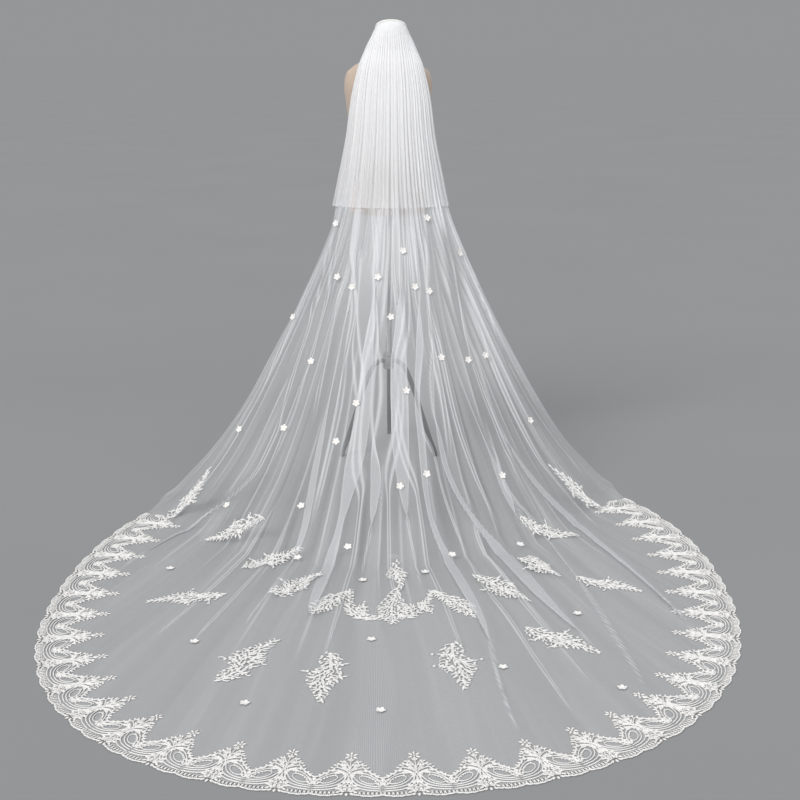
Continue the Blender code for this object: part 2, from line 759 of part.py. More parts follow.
def world_points(piece, graph):
    """The corners of a finished piece, in the world."""
    finished = piece.evaluated_get(graph)
    points = [piece.matrix_world @ vertex.co for vertex in finished.to_mesh().vertices]
    finished.to_mesh_clear()
    return points


def stand_on_origin(group):
    """Parents every piece to an empty, and moves it so that the whole stands over the origin."""
    bpy.context.view_layer.update()
    graph = bpy.context.evaluated_depsgraph_get()
    pieces = list(group.objects)
    points = np.array([point for piece in pieces for point in world_points(piece, graph)])
    middle = (points.min(axis=0) + points.max(axis=0)) / 2
    stand = bpy.data.objects.new("stand_place", None)
    group.objects.link(stand)
    for piece in pieces:
        piece.parent = stand
    stand.location = (-middle[0], -middle[1], 0.0)


def main():
    group = fresh_scene()
    sheer = finish("sheer_tulle", (0.86, 0.87, 0.88), 0.60)
    dense = finish("dense_tulle", (0.92, 0.92, 0.92), 0.60)
    lace_white = finish("corded_lace", (0.93, 0.91, 0.88), 0.70)
    ribbon = finish("header_ribbon", (0.95, 0.94, 0.92), 0.50)
    jersey = finish("form_jersey", (0.64, 0.52, 0.42), 0.80)
    wood = finish("cap_wood", (0.20, 0.13, 0.08), 0.45)
    enamel = finish("stand_enamel", (0.02, 0.02, 0.022), 0.35, 0.6)

    across = pleat_places()
    base = np.concatenate([fall_points(across), train_points(across)])
    inner, outer, normal = long_tier_layers(base, across)
    add(group, "long_tier", wall_mesh("long_tier", inner, outer), sheer)
    add(group, "short_tier", wall_mesh("short_tier", *short_tier_layers(outer, normal)), dense)
    add(group, "header", header_mesh(base, normal), ribbon)

    cloth = Cloth(base, outer)
    up = Vector((0, 0, 1))
    lace = plate_mesh("lace_border", lace_outlines(), WALL)
    cloth.lay(lace, Vector((0, 0, 0)), 0.0, up, follow=True)
    add(group, "lace_border", lace, lace_white)
    for k, (x, y, heading, length) in enumerate(SPRIGS):
        sprig = plate_mesh(f"sprig_{k + 1:02d}", [sprig_outline(length)], APPLIQUE_THICK)
        cloth.lay(sprig, *cloth_place(cloth.below(x, y), heading), follow=True)
        add(group, sprig.name, sprig, lace_white)
    garland = plate_mesh("garland", [garland_outline()], APPLIQUE_THICK)
    cloth.lay(garland, *cloth_place(cloth.below(*GARLAND_MIDDLE), 0.0), follow=True)
    add(group, "garland", garland, lace_white)
    places = [cloth.behind(*row) for row in HANGING_BLOSSOMS]
    places += [cloth.below(*row) for row in LYING_BLOSSOMS]
    for k, place in enumerate(places):
        blossom = plate_mesh(f"blossom_{k + 1:02d}", [blossom_outline()], BLOSSOM_THICK)
        cloth.lay(blossom, *cloth_place(place, BLOSSOM_TURN * k), follow=False)
        add(group, blossom.name, blossom, lace_white)

    add(group, "torso", torso_mesh(), jersey)
    add(group, "neck_cap", neck_cap_mesh(), wood)
    add_pole(group, enamel)
    for k, angle in enumerate(LEG_ANGLES):
        add_leg(group, f"stand_leg_{k + 1}", angle, enamel)
    stand_on_origin(group)


if __name__ == "__main__":
    main()
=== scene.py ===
import logging
import math
from dataclasses import dataclass
from enum import Enum
from typing import NamedTuple, Sequence

import bpy
import numpy as np
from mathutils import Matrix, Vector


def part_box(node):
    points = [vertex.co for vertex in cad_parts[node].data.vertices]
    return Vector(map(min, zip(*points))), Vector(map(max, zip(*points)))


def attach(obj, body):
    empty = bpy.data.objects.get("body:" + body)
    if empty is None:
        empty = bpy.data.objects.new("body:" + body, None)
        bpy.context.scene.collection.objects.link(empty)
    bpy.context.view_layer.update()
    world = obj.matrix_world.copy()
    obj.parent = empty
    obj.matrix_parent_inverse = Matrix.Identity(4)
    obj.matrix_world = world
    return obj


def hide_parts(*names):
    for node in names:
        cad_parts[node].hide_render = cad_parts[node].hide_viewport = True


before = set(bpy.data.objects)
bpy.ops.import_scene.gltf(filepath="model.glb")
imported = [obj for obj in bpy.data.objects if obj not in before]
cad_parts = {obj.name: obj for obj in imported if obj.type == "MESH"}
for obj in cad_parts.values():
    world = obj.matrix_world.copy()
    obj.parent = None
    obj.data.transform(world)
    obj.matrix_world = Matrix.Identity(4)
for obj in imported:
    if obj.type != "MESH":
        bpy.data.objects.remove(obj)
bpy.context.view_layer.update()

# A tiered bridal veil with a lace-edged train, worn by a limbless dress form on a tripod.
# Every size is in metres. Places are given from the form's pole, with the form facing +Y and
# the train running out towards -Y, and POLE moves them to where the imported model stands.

LOG = logging.getLogger("veil")
Array = np.ndarray
Colour = tuple[float, float, float]

BODY = "root"
MM = 0.001

GOLDEN = 0.6180339887
TANGLE = (12.9898, 78.233, 43758.5453)    # for a sine whose last digits look random
FAR_IN = 1000.0                           # added to places that are counted, to keep them above 0


def pole_place() -> Array:
    """The point on the floor under the stand's pole."""
    low, high = (np.array(corner, dtype=float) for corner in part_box("stand_pole"))
    return np.array([(low[0] + high[0]) / 2, (low[1] + high[1]) / 2, 0.0])


POLE = pole_place()


# ---- curves and shares
def ease(t: Array) -> Array:
    """Smooth step: 0 up to 0, 1 from 1, and three t squared less two t cubed between."""
    t = np.clip(t, 0.0, 1.0)
    return t * t * (3.0 - 2.0 * t)


def uneven(index: Array, seed: float) -> Array:
    """A share from 0 to 1 for each whole number: steps of the golden ratio, less whole turns."""
    return (np.asarray(index) * GOLDEN + seed) % 1.0


def bell(t: Array) -> Array:
    """1 at 0 and falling off on both sides, as e to the minus t squared."""
    return np.exp(-np.square(t))


def rough_line(at: Array, per_unit: float, seed: float) -> Array:
    """Uneven values from 0 to 1 along a line, joined smoothly, so many for each unit."""
    place = np.asarray(at) * per_unit + FAR_IN
    low = np.floor(place)
    share = ease(place - low)
    rate, turn, size = TANGLE
    here, after = (np.sin((low + k) * rate + seed * turn) * size % 1.0 for k in (0, 1))
    return here * (1 - share) + after * share


def streaks(across: Array, down: Array) -> Array:
    """How the finest gathers thicken and thin the tulle, about 1.

    Two rough lines across the cloth, a coarse and a fine one, each changing slowly into
    another on the way down. They are strongest under the header and gone on the train.
    """
    turn = ease((down - 0.45) / 0.4)
    drift = across + 0.01 * np.sin(7 * down + 9 * across)
    coarse = rough_line(drift, 34, 0.3) * (1 - turn) + rough_line(drift, 27, 0.8) * turn
    fine = rough_line(drift, 95, 0.5) * (1 - turn) + rough_line(drift, 70, 0.1) * turn
    depth = 0.95 - 0.50 * turn - 0.28 * ease((down - 0.9) / 0.5)
    return 1 + depth * (0.5 * (2 * coarse - 1) + 1.1 * (fine**4 - 0.18))


def strips(across: Array, down: Array) -> Array:
    """How the overlapping strips of gathered tulle thicken it, about 1.

    Each strip is even between two sharp and slightly brighter edges. A wide and a narrow
    set of them cross the cloth, start above the short tier's hem and fade on the train.
    """
    total = np.ones(np.broadcast(across, down).shape)
    fade = ease((down - 0.27) / 0.06) * (1 - 0.75 * ease((down - 0.80) / 0.45))
    for per_unit, seed, depth, line in ((19.0, 0.3, 0.34, 0.55), (53.0, 0.6, 0.26, 0.45)):
        place = (across + 0.016 * np.sin(9.0 * across + 4.0 * seed)) * per_unit + FAR_IN
        number = np.floor(place)
        before, here, after = (uneven(number + k, seed) for k in (-1, 0, 1))
        value = before + (here - before) * ease((place - number) / (0.003 * per_unit))
        near = np.minimum(place - number, number + 1 - place) / per_unit
        bright = np.where(place - number < 0.5, here, after) ** 2
        total = total + fade * (depth * (2 * value - 1) + line * bright * bell(near / 0.0028))
    return total


def monotone_curve(knots: Array, values: Array, at: Array) -> Array:
    """A smooth curve through a table that never overshoots its rows.

    Cubic pieces join the rows. The slope at a row is the harmonic mean of the slopes on its
    two sides, or nothing where they differ in sign.

    Args:
        knots: Rising places of the rows.
        values: One row of values for each knot.
        at: Places to work out, of any shape.

    Returns:
        The values there, with one more axis than at.
    """
    width = np.diff(knots)[:, None]
    slope = np.diff(values, axis=0) / width
    before, after = slope[:-1], slope[1:]
    same = before * after > 0
    mean = 2 * before * after / np.where(same, before + after, 1.0)
    grade = np.concatenate([slope[:1], np.where(same, mean, 0.0), slope[-1:]])
    at = np.asarray(at, dtype=float)
    piece = np.clip(np.searchsorted(knots, at, side="right") - 1, 0, len(knots) - 2)
    span = width[piece, 0][..., None]
    t = (at[..., None] - knots[piece][..., None]) / span
    t2, t3 = t * t, t * t * t
    return (
        (2 * t3 - 3 * t2 + 1) * values[piece]
        + (t3 - 2 * t2 + t) * span * grade[piece]
        + (3 * t2 - 2 * t3) * values[piece + 1]
        + (t3 - t2) * span * grade[piece + 1]
    )


def smooth_path(points: Array, count: int) -> Array:
    """A Catmull-Rom curve through each path's points, at evenly spaced shares of its length.

    Args:
        points: Paths x points x axes.
        count: Points wanted on each path.

    Returns:
        Paths x count x axes.
    """
    ends = (2 * points[:, :1] - points[:, 1:2], points, 2 * points[:, -1:] - points[:, -2:-1])
    knots = np.concatenate(ends, axis=1)
    at = np.linspace(0, points.shape[1] - 1, count)
    piece = np.minimum(at.astype(int), points.shape[1] - 2)
    t = (at - piece)[None, :, None]
    a, b, c, d = (knots[:, piece + k] for k in range(4))
    return 0.5 * (
        2 * b + (c - a) * t + (2 * a - 5 * b + 4 * c - d) * t**2 + (3 * b - a - 3 * c + d) * t**3
    )


def blunted(value: Array, squareness: float) -> Array:
    """A sine or cosine raised to 2 over a superellipse's squareness, with its own sign."""
    return np.sign(value) * np.abs(value) ** (2.0 / squareness)


def unit(vectors: Array) -> Array:
    """The same directions, each 1 long."""
    return vectors / np.maximum(np.linalg.norm(vectors, axis=-1, keepdims=True), 1e-12)


def heading_way(degrees: float) -> Array:
    """The flat direction at an angle from the first axis."""
    return np.array([math.cos(math.radians(degrees)), math.sin(math.radians(degrees))])


def round_turn(sides: int) -> Array:
    """Angles once round, without the last, which is the first again."""
    return np.linspace(0, 2 * math.pi, sides, endpoint=False)


def run_of(points: Array) -> Array:
    """The distance along a path at each of its points."""
    steps = np.linalg.norm(np.diff(points, axis=0), axis=1)
    return np.concatenate([[0.0], np.cumsum(steps)])


# ---- meshes
def build_mesh(name: str, points: Array, quads: Array, smooth: bool = True) -> bpy.types.Mesh:
    """A mesh from arrays of points and four-cornered faces.

    Args:
        name: The mesh's name.
        points: Of any shape, with x, y and z last.
        quads: Faces x 4, indices of points, counterclockwise seen from outside.
        smooth: Whether the faces are shaded smooth.
    """
    mesh = bpy.data.meshes.new(name)
    mesh.vertices.add(points.size // 3)
    mesh.vertices.foreach_set("co", np.ascontiguousarray(points, dtype=np.float32).ravel())
    mesh.loops.add(quads.size)
    mesh.loops.foreach_set("vertex_index", np.ascontiguousarray(quads, dtype=np.int32).ravel())
    mesh.polygons.add(len(quads))
    mesh.polygons.foreach_set("loop_start", np.arange(0, quads.size, 4, dtype=np.int32))
    mesh.update(calc_edges=True)
    mesh.polygons.foreach_set("use_smooth", np.full(len(quads), smooth))
    return mesh


def grid_quads(rows: int, columns: int, round_columns: bool = False) -> Array:
    """Faces of a grid of points, row by row.

    A face's corners go down the rows first and then along, so the outside is on the side of
    minus (along columns) x (along rows).
    """
    index = np.arange(rows * columns).reshape(rows, columns)
    if round_columns:
        index = np.concatenate([index, index[:, :1]], axis=1)
    corners = (index[:-1, :-1], index[1:, :-1], index[1:, 1:], index[:-1, 1:])
    return np.stack(corners, axis=-1).reshape(-1, 4)


def end_lids(rows: int, sides: int) -> Array:
    """Strips of faces that close a round grid's first row and its last."""
    k = np.arange(sides // 2 - 1)
    first = np.stack([sides - 1 - k, sides - 2 - k, k + 1, k], axis=-1)
    return np.concatenate([first, (first + (rows - 1) * sides)[:, ::-1]])


def repeated(quads: Array, copies: int, points: int) -> Array:
    """The faces of so many copies of a body, each with its own points."""
    return (quads[None] + (np.arange(copies) * points)[:, None, None]).reshape(-1, 4)


def add_object(name: str, data: bpy.types.ID) -> bpy.types.Object:
    """Puts a mesh, a lamp or a camera in the scene."""
    made = bpy.data.objects.new(name, data)
    bpy.context.scene.collection.objects.link(made)
    return made


def add_piece(name: str, points: Array, quads: Array, material: bpy.types.Material,
              node: str | None) -> bpy.types.Object:
    """Puts a finished piece in the scene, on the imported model's one body.

    Args:
        name: The piece's own name and its mesh's.
        points: Its points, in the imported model's frame.
        quads: Its faces.
        material: Its finish.
        node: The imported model's node whose place it takes, if there is one.
    """
    mesh = build_mesh(name, points, quads)
    mesh.materials.append(material)
    piece = add_object(name, mesh)
    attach(piece, BODY)
    if node is not None:
        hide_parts(node)
    return piece


def store_values(piece: bpy.types.Object, name: str, values: Array) -> None:
    """Keeps one number for each of a piece's points, for its material to read."""
    layer = piece.data.attributes.new(name, "FLOAT", "POINT")
    layer.data.foreach_set("value", np.ascontiguousarray(values, dtype=np.float32).ravel())


def store_uv(piece: bpy.types.Object, first: Array, second: Array) -> None:
    """Keeps each point's place on the flat cloth, in metres, as the piece's UV map."""
    places = np.stack(np.broadcast_arrays(first, second), axis=-1).reshape(-1, 2)
    corner = np.empty(len(piece.data.loops), dtype=np.int32)
    piece.data.loops.foreach_get("vertex_index", corner)
    layer = piece.data.uv_layers.new(name="cloth")
    layer.data.foreach_set("uv", places[corner].astype(np.float32).ravel())


# ---- shader node groups
class Graph:
    """The nodes of a material or a group, with short ways to add and join them."""

    def __init__(self, tree: bpy.types.NodeTree) -> None:
        """Starts on a node tree, which may already hold nodes."""
        self.tree = tree

    def node(self, kind: str, **settings: object) -> bpy.types.Node:
        """A new node of a kind, with its settings."""
        made = self.tree.nodes.new(kind)
        for name, value in settings.items():
            setattr(made, name, value)
        return made

    def put(self, socket: bpy.types.NodeSocket, value: object) -> None:
        """Joins another socket to this one, or sets its value."""
        if isinstance(value, bpy.types.NodeSocket):
            self.tree.links.new(value, socket)
        else:
            socket.default_value = value

    def maths(self, operation: str, *values: object, clamp: bool = False) -> bpy.types.NodeSocket:
        """The result of a Math node."""
        made = self.node("ShaderNodeMath", operation=operation, use_clamp=clamp)
        for socket, value in zip(made.inputs, values):
            self.put(socket, value)
        return made.outputs[0]

    def mix(self, share: object, first: object, second: object) -> bpy.types.NodeSocket:
        """A colour between two, by share."""
        made = self.node("ShaderNodeMix", data_type="RGBA")
        self.put(made.inputs["Factor"], share)
        self.put(made.inputs[6], first)
        self.put(made.inputs[7], second)
        return made.outputs[2]

    def noise(self, vector: object, scale: object, detail: float = 3.0) -> bpy.types.NodeSocket:
        """Soft noise from 0 to 1."""
        made = self.node("ShaderNodeTexNoise")
        self.put(made.inputs["Vector"], vector)
        self.put(made.inputs["Scale"], scale)
        made.inputs["Detail"].default_value = detail
        return made.outputs["Fac"]


class SocketRow(NamedTuple):
    """One socket of a node group."""

    name: str
    kind: str
    out: bool = False


def new_group(name: str, rows: Sequence[SocketRow]) -> tuple[Graph, bpy.types.Node, bpy.types.Node]:
    """An empty node group with its sockets.

    Returns:
        The group's graph, and its input and output nodes.
    """
    tree = bpy.data.node_groups.new(name, "ShaderNodeTree")
    for row in rows:
        way = "OUTPUT" if row.out else "INPUT"
        tree.interface.new_socket(name=row.name, in_out=way, socket_type=f"NodeSocket{row.kind}")
    graph = Graph(tree)
    return graph, graph.node("NodeGroupInput"), graph.node("NodeGroupOutput")


class Effects:
    """The node groups that more than one finish uses, each built once."""

    def __init__(self) -> None:
        """Builds every group."""
        self.tone = self._tone()
        self.net = self._net()
        self.sheer = self._sheer()
        self.thread = self._thread()

    @staticmethod
    def _tone() -> bpy.types.NodeTree:
        """Slow and fine noise that shifts a colour between two, and a height from the fine one."""
        rows = (
            SocketRow("Vector", "Vector"), SocketRow("Scale", "Float"),
            SocketRow("Light", "Color"), SocketRow("Deep", "Color"),
            SocketRow("Colour", "Color", True), SocketRow("Height", "Float", True),
        )
        graph, given, made = new_group("fibre_tone", rows)
        slow = graph.noise(given.outputs["Vector"], given.outputs["Scale"], 2.0)
        finer = graph.maths("MULTIPLY", given.outputs["Scale"], 14.0)
        fine = graph.noise(given.outputs["Vector"], finer, 4.0)
        share = graph.maths("MULTIPLY_ADD", fine, 0.45, graph.maths("MULTIPLY", slow, 0.55))
        spread = graph.maths("MULTIPLY_ADD", share, 2.6, -0.8, clamp=True)
        colour = graph.mix(spread, given.outputs["Light"], given.outputs["Deep"])
        graph.put(made.inputs["Colour"], colour)
        graph.put(made.inputs["Height"], fine)
        return graph.tree

    @staticmethod
    def _net() -> bpy.types.NodeTree:
        """A hexagonal net: three waves at 60 degrees, summed, are low along its threads."""
        rows = (
            SocketRow("Vector", "Vector"), SocketRow("Mesh", "Float"),
            SocketRow("Thread", "Float", True),
        )
        graph, given, made = new_group("hexagon_net", rows)
        apart = graph.node("ShaderNodeSeparateXYZ")
        graph.put(apart.inputs[0], given.outputs["Vector"])
        rate = graph.maths("DIVIDE", 2 * math.pi, given.outputs["Mesh"])
        waves = []
        for k in range(3):
            x = graph.maths("MULTIPLY", apart.outputs["X"], math.cos(k * math.pi / 3))
            along = graph.maths("MULTIPLY_ADD", apart.outputs["Y"], math.sin(k * math.pi / 3), x)
            waves.append(graph.maths("COSINE", graph.maths("MULTIPLY", along, rate)))
        total = graph.maths("ADD", graph.maths("ADD", waves[0], waves[1]), waves[2])
        thread = graph.maths("MULTIPLY_ADD", total, -0.55, 0.35, clamp=True)
        graph.put(made.inputs["Thread"], thread)
        return graph.tree

    @staticmethod
    def _sheer() -> bpy.types.NodeTree:
        """How much several layers of a sheer cloth hide: 1 less what each lets by, to their number.

        The number of layers is the cloth's own, raised on the net's threads.
        """
        rows = (
            SocketRow("Layers", "Float"), SocketRow("Lets By", "Float"),
            SocketRow("Thread", "Float"), SocketRow("Cover", "Float", True),
        )
        graph, given, made = new_group("layered_sheer", rows)
        weight = graph.maths("MULTIPLY_ADD", given.outputs["Thread"], 0.6, 0.82)
        layers = graph.maths("MULTIPLY", given.outputs["Layers"], weight)
        through = graph.maths("POWER", given.outputs["Lets By"], layers)
        graph.put(made.inputs["Cover"], graph.maths("SUBTRACT", 1.0, through, clamp=True))
        return graph.tree

    @staticmethod
    def _thread() -> bpy.types.NodeTree:
        """Twisted yarn: fine slanting ridges broken up by noise."""
        rows = (
            SocketRow("Vector", "Vector"), SocketRow("Pitch", "Float"),
            SocketRow("Height", "Float", True),
        )
        graph, given, made = new_group("yarn_twist", rows)
        wave = graph.node("ShaderNodeTexWave", wave_type="BANDS", bands_direction="DIAGONAL")
        graph.put(wave.inputs["Vector"], given.outputs["Vector"])
        graph.put(wave.inputs["Scale"], graph.maths("DIVIDE", 0.32, given.outputs["Pitch"]))
        wave.inputs["Distortion"].default_value = 3.0
        rough = graph.noise(given.outputs["Vector"], 900.0, 2.0)
        height = graph.maths("MULTIPLY_ADD", rough, 0.6, wave.outputs["Fac"])
        graph.put(made.inputs["Height"], height)
        return graph.tree


class MaterialStart(NamedTuple):
    """A new material with what every finish needs."""

    material: bpy.types.Material
    graph: Graph
    shader: bpy.types.Node
    place: bpy.types.NodeSocket


def start_material(name: str, roughness: float, metallic: float = 0.0) -> MaterialStart:
    """A material with its Principled shader and the Object coordinates."""
    material = bpy.data.materials.new(name)
    material.use_nodes = True
    graph = Graph(material.node_tree)
    shader = material.node_tree.nodes["Principled BSDF"]
    shader.inputs["Roughness"].default_value = roughness
    shader.inputs["Metallic"].default_value = metallic
    place = graph.node("ShaderNodeTexCoord").outputs["Object"]
    return MaterialStart(material, graph, shader, place)


def join_group(graph: Graph, group: bpy.types.NodeTree, **values: object) -> bpy.types.Node:
    """Places a node group in a material, its inputs set by name; _ stands for a space."""
    made = graph.node("ShaderNodeGroup", node_tree=group)
    for name, value in values.items():
        graph.put(made.inputs[name.replace("_", " ")], value)
    return made


def join_bump(start: MaterialStart, height: bpy.types.NodeSocket, depth: float) -> None:
    """Raises a material's surface by a height from 0 to 1, depth metres in all."""
    bump = start.graph.node("ShaderNodeBump")
    bump.inputs["Strength"].default_value = 1.0
    bump.inputs["Distance"].default_value = depth
    start.graph.put(bump.inputs["Height"], height)
    start.graph.put(start.shader.inputs["Normal"], bump.outputs["Normal"])


@dataclass(frozen=True)
class Finish:
    """What every finish has: its material's name, and the two tones it wanders between."""

    name: str
    light: Colour
    deep: Colour

    def tone(self, effects: Effects, start: MaterialStart, scale: float,
             place: bpy.types.NodeSocket | None = None) -> bpy.types.Node:
        """The tone group between the two tones, so many patches to a metre."""
        return join_group(
            start.graph, effects.tone, Vector=start.place if place is None else place,
            Scale=scale, Light=(*self.light, 1.0), Deep=(*self.deep, 1.0),
        )


@dataclass(frozen=True)
class TulleFinish(Finish):
    """Soft nylon net, see-through by its layers."""

    lets_by: float            # share of light that one flat layer lets by
    net: float = 0.0019       # from one opening of the net to the next
    roughness: float = 0.55

    def build(self, effects: Effects) -> bpy.types.Material:
        """The material; its layers come from the mesh's own values."""
        start = start_material(self.name, self.roughness)
        graph, shader = start.graph, start.shader
        tone = self.tone(effects, start, 3.0)
        graph.put(shader.inputs["Base Color"], tone.outputs["Colour"])
        flat = graph.node("ShaderNodeUVMap", uv_map="cloth").outputs["UV"]
        net = join_group(graph, effects.net, Vector=flat, Mesh=self.net)
        layers = graph.node("ShaderNodeAttribute", attribute_name="layers").outputs["Fac"]
        sheer = join_group(
            graph, effects.sheer, Layers=layers, Lets_By=self.lets_by,
            Thread=net.outputs["Thread"],
        )
        graph.put(shader.inputs["Alpha"], sheer.outputs["Cover"])
        shader.inputs["Sheen Weight"].default_value = 0.25
        shader.inputs["Sheen Roughness"].default_value = 0.4
        shader.inputs["Specular IOR Level"].default_value = 0.3
        join_bump(start, net.outputs["Thread"], 0.0002)
        return start.material


@dataclass(frozen=True)
class YarnFinish(Finish):
    """Corded embroidery yarn, or petals sewn from it."""

    pitch: float = 0.0016     # from one twist of the yarn to the next
    depth: float = 0.00035
    roughness: float = 0.62

    def build(self, effects: Effects) -> bpy.types.Material:
        """The material: slanting twists under a soft change of tone."""
        start = start_material(self.name, self.roughness)
        tone = self.tone(effects, start, 26.0)
        start.graph.put(start.shader.inputs["Base Color"], tone.outputs["Colour"])
        twist = join_group(start.graph, effects.thread, Vector=start.place, Pitch=self.pitch)
        start.shader.inputs["Sheen Weight"].default_value = 0.2
        join_bump(start, twist.outputs["Height"], self.depth)
        return start.material


@dataclass(frozen=True)
class JerseyFinish(Finish):
    """Fine knitted cover of the form, or a satin ribbon with a finer rib."""

    rib: float
    depth: float
    roughness: float = 0.8
    sheen: float = 0.35

    def build(self, effects: Effects) -> bpy.types.Material:
        """The material: a fine knit under a soft change of tone."""
        start = start_material(self.name, self.roughness)
        graph = start.graph
        tone = self.tone(effects, start, 9.0)
        graph.put(start.shader.inputs["Base Color"], tone.outputs["Colour"])
        net = join_group(graph, effects.net, Vector=start.place, Mesh=self.rib)
        height = graph.maths("MULTIPLY_ADD", tone.outputs["Height"], 0.5, net.outputs["Thread"])
        start.shader.inputs["Sheen Weight"].default_value = self.sheen
        join_bump(start, height, self.depth)
        return start.material


@dataclass(frozen=True)
class WoodFinish(Finish):
    """Turned and varnished hardwood."""

    stretch: float = 0.16     # how much longer the grain is along Y
    bands: float = 70.0

    def build(self, effects: Effects) -> bpy.types.Material:
        """The material: bands through the cap's own middle, stretched into grain."""
        start = start_material(self.name, 0.38)
        graph = start.graph
        mapping = graph.node("ShaderNodeMapping")
        mapping.inputs["Location"].default_value = (-POLE[0], -POLE[1], 0.0)
        mapping.inputs["Scale"].default_value = (1.0, self.stretch, 1.0)
        graph.put(mapping.inputs["Vector"], start.place)
        grain = graph.node("ShaderNodeTexWave", wave_type="BANDS", bands_direction="X")
        graph.put(grain.inputs["Vector"], mapping.outputs["Vector"])
        grain.inputs["Scale"].default_value = self.bands
        grain.inputs["Distortion"].default_value = 6.0
        grain.inputs["Detail"].default_value = 3.0
        tone = self.tone(effects, start, 40.0, mapping.outputs["Vector"])
        deep = (*(0.6 * c for c in self.deep), 1.0)
        colour = graph.mix(grain.outputs["Fac"], deep, tone.outputs["Colour"])
        graph.put(start.shader.inputs["Base Color"], colour)
        start.shader.inputs["Coat Weight"].default_value = 0.35
        join_bump(start, grain.outputs["Fac"], 0.0001)
        return start.material


@dataclass(frozen=True)
class EnamelFinish(Finish):
    """Stoved enamel on steel tube, a little rubbed."""

    def build(self, effects: Effects) -> bpy.types.Material:
        """The material: its gloss wanders with its tone."""
        start = start_material(self.name, 0.36, 0.2)
        tone = self.tone(effects, start, 18.0)
        start.graph.put(start.shader.inputs["Base Color"], tone.outputs["Colour"])
        rough = start.graph.maths("MULTIPLY_ADD", tone.outputs["Height"], 0.22, 0.26)
        start.graph.put(start.shader.inputs["Roughness"], rough)
        join_bump(start, tone.outputs["Height"], 0.00008)
        return start.material


SHEER_TULLE = TulleFinish("sheer_tulle_net", (0.95, 0.96, 0.98), (0.90, 0.91, 0.93), 0.85)
DENSE_TULLE = TulleFinish("dense_tulle_net", (0.97, 0.97, 0.98), (0.94, 0.94, 0.955), 0.68)
LACE_YARN = YarnFinish("corded_lace_yarn", (0.96, 0.95, 0.94), (0.86, 0.85, 0.84))
PETAL_YARN = YarnFinish("petal_cloth", (0.95, 0.94, 0.92), (0.84, 0.81, 0.79), 0.0022, 0.0002)
RIBBON_SATIN = JerseyFinish(
    "header_satin", (0.95, 0.94, 0.92), (0.86, 0.85, 0.83), 0.0012, 0.00012, 0.42, 0.5
)
FORM_JERSEY = JerseyFinish(
    "form_cover_jersey", (0.66, 0.53, 0.43), (0.55, 0.43, 0.34), 0.0022, 0.00022
)
CAP_WOOD = WoodFinish("cap_hardwood", (0.30, 0.18, 0.10), (0.16, 0.09, 0.05))
STAND_ENAMEL = EnamelFinish("stand_dark_enamel", (0.035, 0.036, 0.038), (0.055, 0.056, 0.06))
POLE_ENAMEL = EnamelFinish("pole_grey_enamel", (0.20, 0.205, 0.21), (0.26, 0.265, 0.27))


# ---- the veil's surface
class FallSection(NamedTuple):
    """One section of the long tier, level but for the first ones, which arch over the cap.

    The sections go from the header to the floor.
    """

    height: float             # of its middle
    half_width: float
    middle_back: float        # how far its middle lies behind the pole
    edge_back: float          # the same for its side edges
    edge_drop: float          # how far its side edges hang below its middle
    pleat_depth: float


FALL = [FallSection(*row) for row in (
    (1.7438, 0.0600, 0.0330, -0.0040, 0.0300, 0.0008),
    (1.7350, 0.0680, 0.0500, -0.0020, 0.0400, 0.0012),
    (1.7130, 0.0760, 0.0610, 0.0050, 0.0330, 0.0018),
    (1.6850, 0.0850, 0.0690, 0.0150, 0.0200, 0.0025),
    (1.6400, 0.0980, 0.0810, 0.0360, 0.0060, 0.0034),
    (1.5700, 0.1220, 0.1040, 0.0680, 0.0000, 0.0055),
    (1.4500, 0.1490, 0.1250, 0.0860, 0.0000, 0.0080),
    (1.3000, 0.1680, 0.1520, 0.0980, 0.0000, 0.0110),
    (1.1700, 0.1860, 0.1920, 0.1130, 0.0000, 0.0140),
    (1.0400, 0.2080, 0.2450, 0.1350, 0.0000, 0.0165),
    (0.8500, 0.2800, 0.3600, 0.1900, 0.0000, 0.0190),
    (0.6600, 0.3720, 0.5000, 0.2620, 0.0000, 0.0205),
    (0.4800, 0.4680, 0.6650, 0.3370, 0.0000, 0.0205),
    (0.3200, 0.5630, 0.8400, 0.4080, 0.0000, 0.0185),
    (0.1800, 0.6680, 1.0200, 0.4660, 0.0000, 0.0150),
    (0.0800, 0.7650, 1.1700, 0.5070, 0.0000, 0.0110),
    (0.0220, 0.8250, 1.2720, 0.5250, 0.0000, 0.0075),
    (0.0000, 0.8600, 1.3450, 0.5350, 0.0000, 0.0055),
)]


class RunningFold(NamedTuple):
    """One pleat that runs out over the train."""

    across: float             # from -1 to 1
    height: float             # at the floor line
    reach: float              # how much of the way to the hem it goes


RUNNING_FOLDS = [RunningFold(*row) for row in (
    (-0.60, 0.011, 0.42),
    (-0.44, 0.008, 0.40),
    (-0.24, 0.020, 0.62),
    (-0.14, 0.022, 0.60),
    (0.03, 0.008, 0.42),
    (0.175, 0.018, 0.70),
    (0.24, 0.014, 0.66),
    (0.355, 0.015, 0.66),
    (0.58, 0.011, 0.42),
)]


class Station(NamedTuple):
    """One place on a crease.

    Places down the cloth go from 0 at the header to 1 at the floor line and 2 at the hem.
    """

    across: float
    down: float
    width: float              # of the doubled part there, in metres


class Crease(NamedTuple):
    """One crease, where the tulle doubles back on itself or only stands up in a ridge."""

    name: str
    side: int                 # which of its edges lies on top
    turn: float               # how sharply it folds over; below 1 it would only gather
    rise: float               # how far its upper layer stands up
    course: tuple[Station, ...]


def stations(*rows: tuple[float, float, float]) -> tuple[Station, ...]:
    """A crease's course, from its rows of across, down and width."""
    return tuple(Station(*row) for row in rows)


